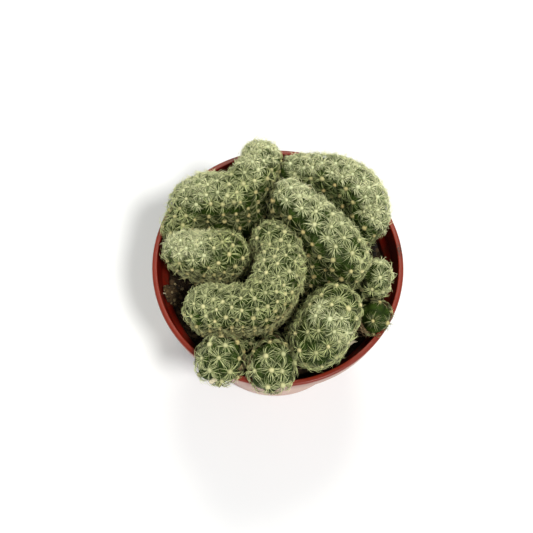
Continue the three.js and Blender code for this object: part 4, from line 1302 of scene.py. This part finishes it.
class CACTUS_OT_soil(bpy.types.Operator):
    """Potting soil with loose crumbs and fibres."""

    bl_idname = "cactus.soil"
    bl_label = "Soil"

    def execute(self, context):
        settings = context.scene.cactus_soil
        self.cake(settings)
        self.crumbs(settings)
        return {"FINISHED"}

    @staticmethod
    def cake(settings):
        """The body of the soil, just inside the wall of the pot."""
        sides = 120
        rings = 62
        gap = 0.1
        bottom = FLOOR_THICKNESS + 1.1
        outer = float(wall_inner_radius(SOIL_TOP)) - gap
        low = float(wall_inner_radius(bottom)) - gap
        ahead = level_directions(2 * math.pi * np.arange(sides) / sides)
        top = soil_height(*(outer * ahead).T)
        edge = np.minimum(top - 0.3, STEP_BOTTOM)
        shells = [
            (np.full(sides, low), np.full(sides, bottom)),
            (wall_inner_radius(edge) - gap, edge),
            (wall_inner_radius(top) - gap, top),
        ]
        for k in range(1, rings):
            radius = np.full(sides, outer * (rings - k) / rings)
            shells.append((radius, soil_height(*(radius[0] * ahead).T)))
        points = [(0.0, 0.0, bottom)]
        for radius, height in shells:
            points += np.column_stack([ahead * radius[:, None], height]).tolist()
        points.append((0.0, 0.0, float(soil_height(0.0, 0.0))))
        faces = turned_faces(len(shells), sides)
        cake = add_piece("soil_cake", points, faces, ["soil"])
        cake.data.materials.append(soil_recipe(settings))

    @staticmethod
    def crumbs(settings):
        """Lumps of peat and short fibres, sunk a little into the surface and thicker on the heap."""
        smallest, spread = 0.20, 0.70
        rng = np.random.default_rng(7)
        block = bmesh.new()
        bmesh.ops.create_icosphere(block, subdivisions=1, radius=1.0)
        shape = np.array([corner.co[:] for corner in block.verts])
        shape_faces = [tuple(corner.index for corner in face.verts) for face in block.faces]
        block.free()
        heaped = settings.crumbs // 4
        spots = scattered(settings.crumbs + heaped, heaped, rng)
        moss = np.exp(-((spots - (HEAP_X, HEAP_Y)) ** 2).sum(1) / HEAP_RADIUS**2 / 1.5)
        points, faces, details = [], [], {"tone": [], "moss": []}
        for spot, mossy in zip(spots, moss):
            size = (smallest + spread * rng.random() ** 2.5) * (1 - 0.7 * mossy)
            stretch = 1 + 0.5 * rng.random(3)
            rough = 1 + 0.35 * (rng.random(len(shape)) - 0.5)
            angle = rng.random() * 6.3
            turn = np.array(Matrix.Rotation(angle, 3, Vector(rng.normal(size=3)).normalized()))
            lump = (shape * rough[:, None] * stretch * size) @ turn.T
            height = float(soil_height(*spot)) + size * 0.5
            faces += shifted(shape_faces, len(points))
            points += (lump + np.array([*spot, height])).tolist()
            details["tone"] += [float(rng.random())] * len(shape)
            details["moss"] += [float(mossy)] * len(shape)
        picked = np.concatenate([np.arange(0, len(spots), 12), np.arange(0, heaped, 2)])
        fibres, fibre_faces = soil_fibres(spots[picked], moss[picked], rng)
        faces += shifted(fibre_faces, len(points))
        points += fibres.tolist()
        corners = len(fibres) // len(picked)
        details["tone"] += np.repeat(0.3 + 0.68 * rng.random(len(picked)), corners).tolist()
        details["moss"] += np.repeat(moss[picked], corners).tolist()
        loose = add_piece("soil_crumbs", points, faces, attributes=details)
        loose.data.materials.append(crumb_recipe(settings))


def flake(middle, heading, half_length, half_width, arch, crumple):
    """A thin curved flake of dry skin, as corners and faces."""
    along_count, across_count = 24, 8
    half_thickness = 0.05
    ahead = np.array([math.cos(heading), math.sin(heading), 0.0])
    aside = np.array([-math.sin(heading), math.cos(heading), 0.0])
    points, faces = [], []
    for layer in (1, -1):
        for i in range(along_count + 1):
            u = 2 * i / along_count - 1
            full = 1 - u * u
            half = half_width * math.sqrt(max(0.03, full))
            for j in range(across_count + 1):
                v = 2 * j / across_count - 1
                curve = 1 - v * v
                rise = arch * full + 0.3 * half_width * curve + half_thickness * layer * curve
                rise += crumple * math.sin(4 * u + 2 * v) * math.cos(3 * v)
                sway = v * half + 0.4 * half_width * full + 0.12 * math.sin(5 * u)
                spot = middle + ahead * u * half_length + aside * sway
                points.append(spot + np.array([0, 0, rise]))
    row = across_count + 1
    sheet = (along_count + 1) * row
    for i in range(along_count):
        for j in range(across_count):
            a = i * row + j
            faces.append((a, a + row, a + row + 1, a + 1))
            b = sheet + a
            faces.append((b, b + 1, b + row + 1, b + row))
    rim = [i * row for i in range(along_count + 1)]
    for a, b in zip(rim, rim[1:]):
        faces.append((a, sheet + a, sheet + b, b))
        c, d = a + across_count, b + across_count
        faces.append((c, d, sheet + d, sheet + c))
    for j in range(across_count):
        faces.append((j, j + 1, sheet + j + 1, sheet + j))
        k = along_count * row + j
        faces.append((k + 1, k, sheet + k, sheet + k + 1))
    return points, faces


def fibre_tangle(growth, fin, side, levels, count, rng):
    """Bent fibres rooted on one side of a lobe, as lines of joints, clear of lobes and pot."""
    joints = 6
    clearance = 0.1
    droop = np.array([0, 0, -0.15])
    roots, normals = [], []
    for level in np.linspace(*levels, 12):
        ring, outward = fin.ring(level)
        near = np.flatnonzero(fin.direction @ np.array(side) > 0.1)
        roots.append(ring[near])
        normals.append(outward[near])
    roots, normals = np.vstack(roots), np.vstack(normals)
    picked = rng.integers(0, len(roots), count)
    normals = normals[picked]
    lines = np.zeros((count, joints, 3))
    lines[:, 0] = roots[picked] + normals * 0.25
    swing = rng.random(count) * 2 * math.pi
    twist = 0.5 * rng.normal(size=count)
    length = 2.5 + 3.5 * rng.random(count)
    first = np.array([tangent_pair(normal)[0] for normal in normals])
    second = np.cross(normals, first)
    for k in range(1, joints):
        turn = swing + twist * k
        step = first * np.cos(turn)[:, None] + second * np.sin(turn)[:, None]
        step += normals * (0.5 - 0.15 * k) + droop
        lines[:, k] = lines[:, k - 1] + unit(step) * (length / (joints - 1))[:, None]
    flat = lines.reshape(-1, 3)
    clear = pot_distance(flat) > clearance
    clear &= growth.to_neighbours(fin, flat, SEARCH) > clearance
    return lines[clear.reshape(-1, joints).all(1)]


class CACTUS_OT_husk(bpy.types.Operator):
    """Dry bits: a husk on the soil, two scraps, and dead fibres on the sides of four lobes."""

    bl_idname = "cactus.husk"
    bl_label = "Dry bits"

    def execute(self, context):
        material = husk_recipe()
        low, high = (np.array(corner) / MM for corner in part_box("husk"))
        middle = np.array([(low[0] + high[0]) / 2 + 0.7, (low[1] + high[1]) / 2 - 0.4, low[2] + 0.4])
        heading = math.radians(26)
        husk = flake(middle, heading, half_length=2.3, half_width=0.5, arch=0.6, crumple=0.0)
        self.lay("husk_flake", husk, material, ["husk"])

        ring, outward = grown().fins["head_front_left"].ring(0.85)
        x, y = -21.1, -41.6
        seat = np.argmin(((ring[:, :2] - (x, y)) ** 2).sum(1))
        perch = ring[seat] + outward[seat] * 1.7 + np.array([0.9, 0.6, 0.3])
        scrap = flake(perch, 0.4, half_length=1.35, half_width=0.85, arch=0.3, crumple=0.15)
        self.lay("paper_scrap", scrap, material)

        x, y = -38.3, -9.4
        crest = np.array([x, y, float(soil_height(x, y)) + 0.7])
        scrap = flake(crest, -0.2, half_length=0.55, half_width=0.15, arch=0.1, crumple=0.03)
        self.lay("pale_scrap", scrap, material)
        self.fibres()
        return {"FINISHED"}

    @staticmethod
    def lay(name, shape, material, replaced=()):
        points, faces = shape
        piece = add_piece(name, points, faces, replaced)
        weld(piece, 0.001)
        piece.data.materials.append(material)

    @staticmethod
    def fibres():
        """Tangled dead fibres on the lobes' shaded sides."""
        growth = grown()
        rng = np.random.default_rng(17)
        width = 0.16
        points, faces, tones = [], [], []
        for name, side, levels, count in DEAD_FIBRES:
            lines = fibre_tangle(growth, growth.fins[name], side, levels, count, rng)
            tangle, sides = needles(lines, (1, 1.2, 1, 0.8, 0.6), np.full(len(lines), width))
            faces += shifted(sides, len(points))
            points += tangle.tolist()
            tones += np.repeat(rng.random(len(lines)), len(tangle) // len(lines)).tolist()
        piece = add_piece("dry_fibres", points, faces, attributes={"tone": tones})
        piece.data.materials.append(fibre_recipe())


class CACTUS_OT_skins(bpy.types.Operator):
    """Skin of every lobe, raised into tubercles."""

    bl_idname = "cactus.skins"
    bl_label = "Skins"

    def execute(self, context):
        growth = grown()
        material = skin_recipe(context.scene.cactus_plant)
        for name, skin in growth.skins.items():
            rows, around = skin["rows"], skin["around"]
            k, i = np.meshgrid(np.arange(rows - 1), np.arange(around), indexing="ij")
            j = (i + 1) % around
            upper = k * around
            lower = upper + around
            quads = np.stack([upper + i, lower + i, lower + j, upper + j], -1)
            faces = quads.reshape(-1, 4).tolist()
            faces.append([(rows - 1) * around + n for n in range(around)][::-1])
            details = {key: skin[key] for key in ("dome", "young")}
            points = skin["points"]
            piece = add_piece(name + "_skin", points, faces, [name], details)
            weld(piece, 0.004)
            piece.data.materials.append(material)
        return {"FINISHED"}


# Rings of a woolly areole, from its foot up: their radius and height as shares of its own radius,
# and that radius, which grows with the spacing of the areoles
WOOL_RINGS = ((0.9, -0.3), (0.95, 0.35), (0.55, 0.85))
WOOL_TOP = 0.98
WOOL_SIDES = 8
WOOL_RADIUS = 0.45
WOOL_PER_SPACING = 0.125
LOWEST_AREOLE = SHOULDER_BASE + 2
LOWEST_STAR = SHOULDER_BASE + 5


def about_one(rng):
    return 0.85 + 0.3 * rng.random()


def wool_corners(centre, normal, radius, rng):
    """Corners of one areole: its uneven rings, then its top."""
    first, second = tangent_pair(normal)
    points = []
    for ring, (reach, lift) in enumerate(WOOL_RINGS):
        for k in range(WOOL_SIDES):
            angle = 2 * math.pi * (k + 0.5 * ring) / WOOL_SIDES
            spread = radius * reach * about_one(rng)
            rise = radius * lift * about_one(rng)
            side = first * math.cos(angle) + second * math.sin(angle)
            points.append(centre + side * spread + normal * rise)
    points.append(centre + normal * radius * WOOL_TOP)
    return points


def wool_faces():
    """Faces of one areole: the sides, the cap and the flat foot."""
    top = len(WOOL_RINGS) * WOOL_SIDES
    pairs = [(k, (k + 1) % WOOL_SIDES) for k in range(WOOL_SIDES)]
    faces = []
    for a in range(0, top - WOOL_SIDES, WOOL_SIDES):
        b = a + WOOL_SIDES
        faces += [(a + k, a + m, b + m, b + k) for k, m in pairs]
    last = top - WOOL_SIDES
    faces += [(last + k, last + m, top) for k, m in pairs]
    faces.append(tuple(range(WOOL_SIDES))[::-1])
    return faces


class CACTUS_OT_areoles(bpy.types.Operator):
    """Woolly areoles on the tubercles."""

    bl_idname = "cactus.areoles"
    bl_label = "Areoles"

    def execute(self, context):
        growth = grown()
        material = wool_recipe(context.scene.cactus_plant)
        rng = np.random.default_rng(23)
        one = wool_faces()
        for name, areoles in growth.areoles.items():
            lobe = LOBES[name]
            size = (WOOL_RADIUS + WOOL_PER_SPACING * lobe["spacing"]) * lobe.get("length", 1)
            points, faces = [], []
            details = {"age": [], "young": [], "tone": []}
            for n in np.flatnonzero(areoles["points"][:, 2] > LOWEST_AREOLE):
                young = areoles["young"][n]
                age = areoles["age"][n]
                radius = size * (0.74 + 0.34 * rng.random()) * (1 - 0.15 * young)
                radius *= 1 - 0.05 * (age - lobe.get("least_age", 0))
                corners = wool_corners(areoles["points"][n], areoles["normals"][n], radius, rng)
                faces += shifted(one, len(points))
                points += corners
                looks = (age * (0.4 + 0.6 * rng.random()), young, rng.random())
                for key, look in zip(details, looks):
                    details[key] += [look] * len(corners)
            piece = add_piece(name + "_areoles", points, faces, [name], details)
            piece.data.materials.append(material)
        return {"FINISHED"}


# How spines lie: angles in degrees, heights and gaps in millimetres, the rest as shares or counts
SPINE_TAPER = (1.05, 1.0, 0.75)
SPINE_ROOT_REACH = 0.45
SPINE_ROOT_HEIGHT = 0.12
STRAY_SHARE = 0.3
STRAY_LENGTH = 0.75
RISE = 42
RISE_WHEN_YOUNG = 8
RISE_SPREAD = 10
FALL = -48
FALL_SPREAD = 8
FALL_WHEN_BLOCKED = 12
SHORTER_WHEN_BLOCKED = 0.8
LARGEST_BEND = 0.7
PLACE_JITTER = 0.09
REACH_SHARE = 0.32
REACH_PER_SPACING = 0.145
SHORTER_WHEN_YOUNG = 0.15
LENGTH_SPREAD = 0.4
STAR_SWIRL = 0.35
SPINE_SWIRL = 0.4
STRAY_SWIRL = 0.8
MORE_SWIRL_WHEN_YOUNG = 1.2
LOWEST_TIP = 0.02
TIP_HEIGHT = 0.9
HIGHER_WHEN_YOUNG = 0.3
WISPS_ABOVE = 0.82
WISP_HEIGHT = 2.0
HUGGING_ROUNDS = 3
CLEARING_ROUNDS = 4
CLEARANCE = 0.15
PLAIN_COVER = 0.52
MORE_COVER_WHEN_YOUNG = 0.50
LESS_COVER_WHEN_OLD = 0.19
CROWDED_GAP = 0.8
CROWDED_COVER = 0.6


def spine_lines(root, radial, normal, swirl, rise, fall, length):
    """Middle lines of four joints, which leave the areole at one slope and bend to another."""
    joints = len(SPINE_TAPER) + 1
    lines = np.zeros((len(root), joints, 3))
    lines[:, 0] = root + radial * SPINE_ROOT_REACH + normal * SPINE_ROOT_HEIGHT
    for k in range(1, joints):
        t = (k - 0.5) / (joints - 1)
        tilt = rise + (fall - rise) * t
        aside = np.cross(normal, radial) * (swirl * t)[:, None]
        step = radial * np.cos(tilt)[:, None] + normal * np.sin(tilt)[:, None] + aside
        lines[:, k] = lines[:, k - 1] + unit(step) * (length / (joints - 1))[:, None]
    return lines


class CACTUS_OT_spines(bpy.types.Operator):
    """Curved radial spines round every areole."""

    bl_idname = "cactus.spines"
    bl_label = "Spines"

    def execute(self, context):
        growth = grown()
        settings = context.scene.cactus_plant
        material = spine_recipe(settings)
        rng = np.random.default_rng(61)
        for name, areoles in growth.areoles.items():
            shown = np.flatnonzero(areoles["points"][:, 2] > LOWEST_STAR)
            areoles = {key: values[shown] for key, values in areoles.items()}
            lines, looks = self.comb(growth, growth.fins[name], areoles, settings, rng)
            thick = settings.spine_width * (0.8 + 0.4 * looks["tone"])
            thick = thick * (1 - 0.2 * np.maximum(0, looks["young"]))
            points, faces = needles(lines, SPINE_TAPER, thick)
            corners = len(points) // len(lines)
            details = {key: np.repeat(look, corners) for key, look in looks.items()}
            places = np.append(np.repeat([0.0, 0.33, 0.67], 3), 1.0)
            details["along"] = np.tile(places, len(lines))
            piece = add_piece(name + "_spines", points, faces, [name], details)
            piece.data.materials.append(material)
        return {"FINISHED"}

    @staticmethod
    def comb(growth, fin, areoles, settings, rng):
        """Middle lines of one lobe's spines, and each one's youth, from -1 to 1, tone and dryness;
        the tone is mostly painted shade, lower for spines that lie lower.
        """
        count = settings.spines
        stars = len(areoles["points"])
        total = stars * count

        def each(values):
            return np.repeat(values, count, axis=0)

        pairs = [tangent_pair(normal) for normal in areoles["normals"]]
        first, second = (each(np.array(sides)) for sides in zip(*pairs))
        normal = each(areoles["normals"])
        root = each(areoles["points"])
        ridge = each(areoles["young"])
        age = each(areoles["age"])
        start = each(rng.random(stars) * 2 * math.pi)
        angle = start + np.tile(np.arange(count) / count, stars) * 2 * math.pi
        angle += rng.normal(size=total) * PLACE_JITTER
        radial = first * np.cos(angle)[:, None] + second * np.sin(angle)[:, None]
        reach = settings.spine_length * (REACH_SHARE + REACH_PER_SPACING * fin.lobe["spacing"])
        reach *= fin.lobe.get("length", 1)
        stray = rng.random(total) < STRAY_SHARE
        length = reach * (1 - SHORTER_WHEN_YOUNG * ridge) * np.where(stray, STRAY_LENGTH, 1.0)
        length = length * (1 + LENGTH_SPREAD * rng.random(total))
        rise = np.radians(RISE + RISE_WHEN_YOUNG * ridge + RISE_SPREAD * rng.normal(size=total))
        fall = np.radians(FALL + FALL_SPREAD * rng.normal(size=total))
        swirl = each(STAR_SWIRL * rng.normal(size=stars))
        swirl = swirl + np.where(stray, STRAY_SWIRL, SPINE_SWIRL) * rng.normal(size=total)
        swirl = swirl * (1 + MORE_SWIRL_WHEN_YOUNG * ridge)
        lift = rng.random(total)
        height = LOWEST_TIP + (TIP_HEIGHT + HIGHER_WHEN_YOUNG * ridge) * lift**1.5
        height += np.where(lift > WISPS_ABOVE, WISP_HEIGHT * rng.random(total), 0.0)

        lines = spine_lines(root, radial, normal, swirl, rise, fall, length)
        for _ in range(HUGGING_ROUNDS):
            over = fin.distance(lines[:, -1]) - height
            fall = fall - np.clip(over / (0.5 * length), -LARGEST_BEND, LARGEST_BEND)
            lines = spine_lines(root, radial, normal, swirl, rise, fall, length)
        crowded = growth.to_neighbours(fin, root + normal * 2.5, WIDE_SEARCH) < CROWDED_GAP
        wanted = PLAIN_COVER + MORE_COVER_WHEN_YOUNG * ridge - LESS_COVER_WHEN_OLD * age
        wanted = fin.lobe["cover"] * wanted * np.where(crowded, CROWDED_COVER, 1.0)
        dropped = rng.random(total) > wanted
        for _ in range(CLEARING_ROUNDS):
            blocked = np.zeros(total, bool)
            for spots in (lines[:, 3], lines[:, 2]):
                blocked |= growth.to_neighbours(fin, spots, SEARCH) < CLEARANCE
                blocked |= pot_distance(spots) < CLEARANCE
            if not blocked.any():
                break
            length = np.where(blocked, length * SHORTER_WHEN_BLOCKED, length)
            fall = np.where(blocked, fall + math.radians(FALL_WHEN_BLOCKED), fall)
            lines = spine_lines(root, radial, normal, swirl, rise, fall, length)
        kept = ~(blocked | dropped)
        star = each(rng.random(stars))
        # Painted shade: the tone follows the lift that sets how high a spine's tip lies, so low
        # spines are coloured darker; a small share is random per areole.
        tone = 0.15 * star + 0.85 * lift
        dry = np.full(total, fin.lobe["dry"])
        return lines[kept], {"young": (ridge - age)[kept], "tone": tone[kept], "dry": dry[kept]}


class CACTUS_PT_parts(bpy.types.Panel):
    """Lists the pieces and their settings."""

    bl_idname = "CACTUS_PT_parts"
    bl_label = "Potted Brain Cactus"
    bl_space_type = "VIEW_3D"
    bl_region_type = "UI"
    bl_category = "Cactus"

    def draw(self, context):
        scene = context.scene
        layout = self.layout
        for operator in PIECES:
            layout.operator(operator.bl_idname)
        for key, group in SETTINGS.items():
            for setting in group.__annotations__:
                layout.prop(getattr(scene, key), setting)


SETTINGS = {
    "cactus_pot": PotSettings,
    "cactus_soil": SoilSettings,
    "cactus_plant": PlantSettings,
}
PIECES = (
    CACTUS_OT_stage,
    CACTUS_OT_pot,
    CACTUS_OT_soil,
    CACTUS_OT_husk,
    CACTUS_OT_skins,
    CACTUS_OT_areoles,
    CACTUS_OT_spines,
)


def register():
    for group in SETTINGS.values():
        bpy.utils.register_class(group)
    for key, group in SETTINGS.items():
        setattr(bpy.types.Scene, key, PointerProperty(type=group))
    for operator in PIECES:
        bpy.utils.register_class(operator)
    bpy.utils.register_class(CACTUS_PT_parts)


def unregister():
    bpy.utils.unregister_class(CACTUS_PT_parts)
    for operator in reversed(PIECES):
        bpy.utils.unregister_class(operator)
    for key in SETTINGS:
        delattr(bpy.types.Scene, key)
    for group in reversed(SETTINGS.values()):
        bpy.utils.unregister_class(group)


def main():
    register()
    bpy.ops.cactus.stage()
    bpy.ops.cactus.pot()
    bpy.ops.cactus.soil()
    bpy.ops.cactus.husk()
    bpy.ops.cactus.skins()
    bpy.ops.cactus.areoles()
    bpy.ops.cactus.spines()


if __name__ == "__main__":
    main()
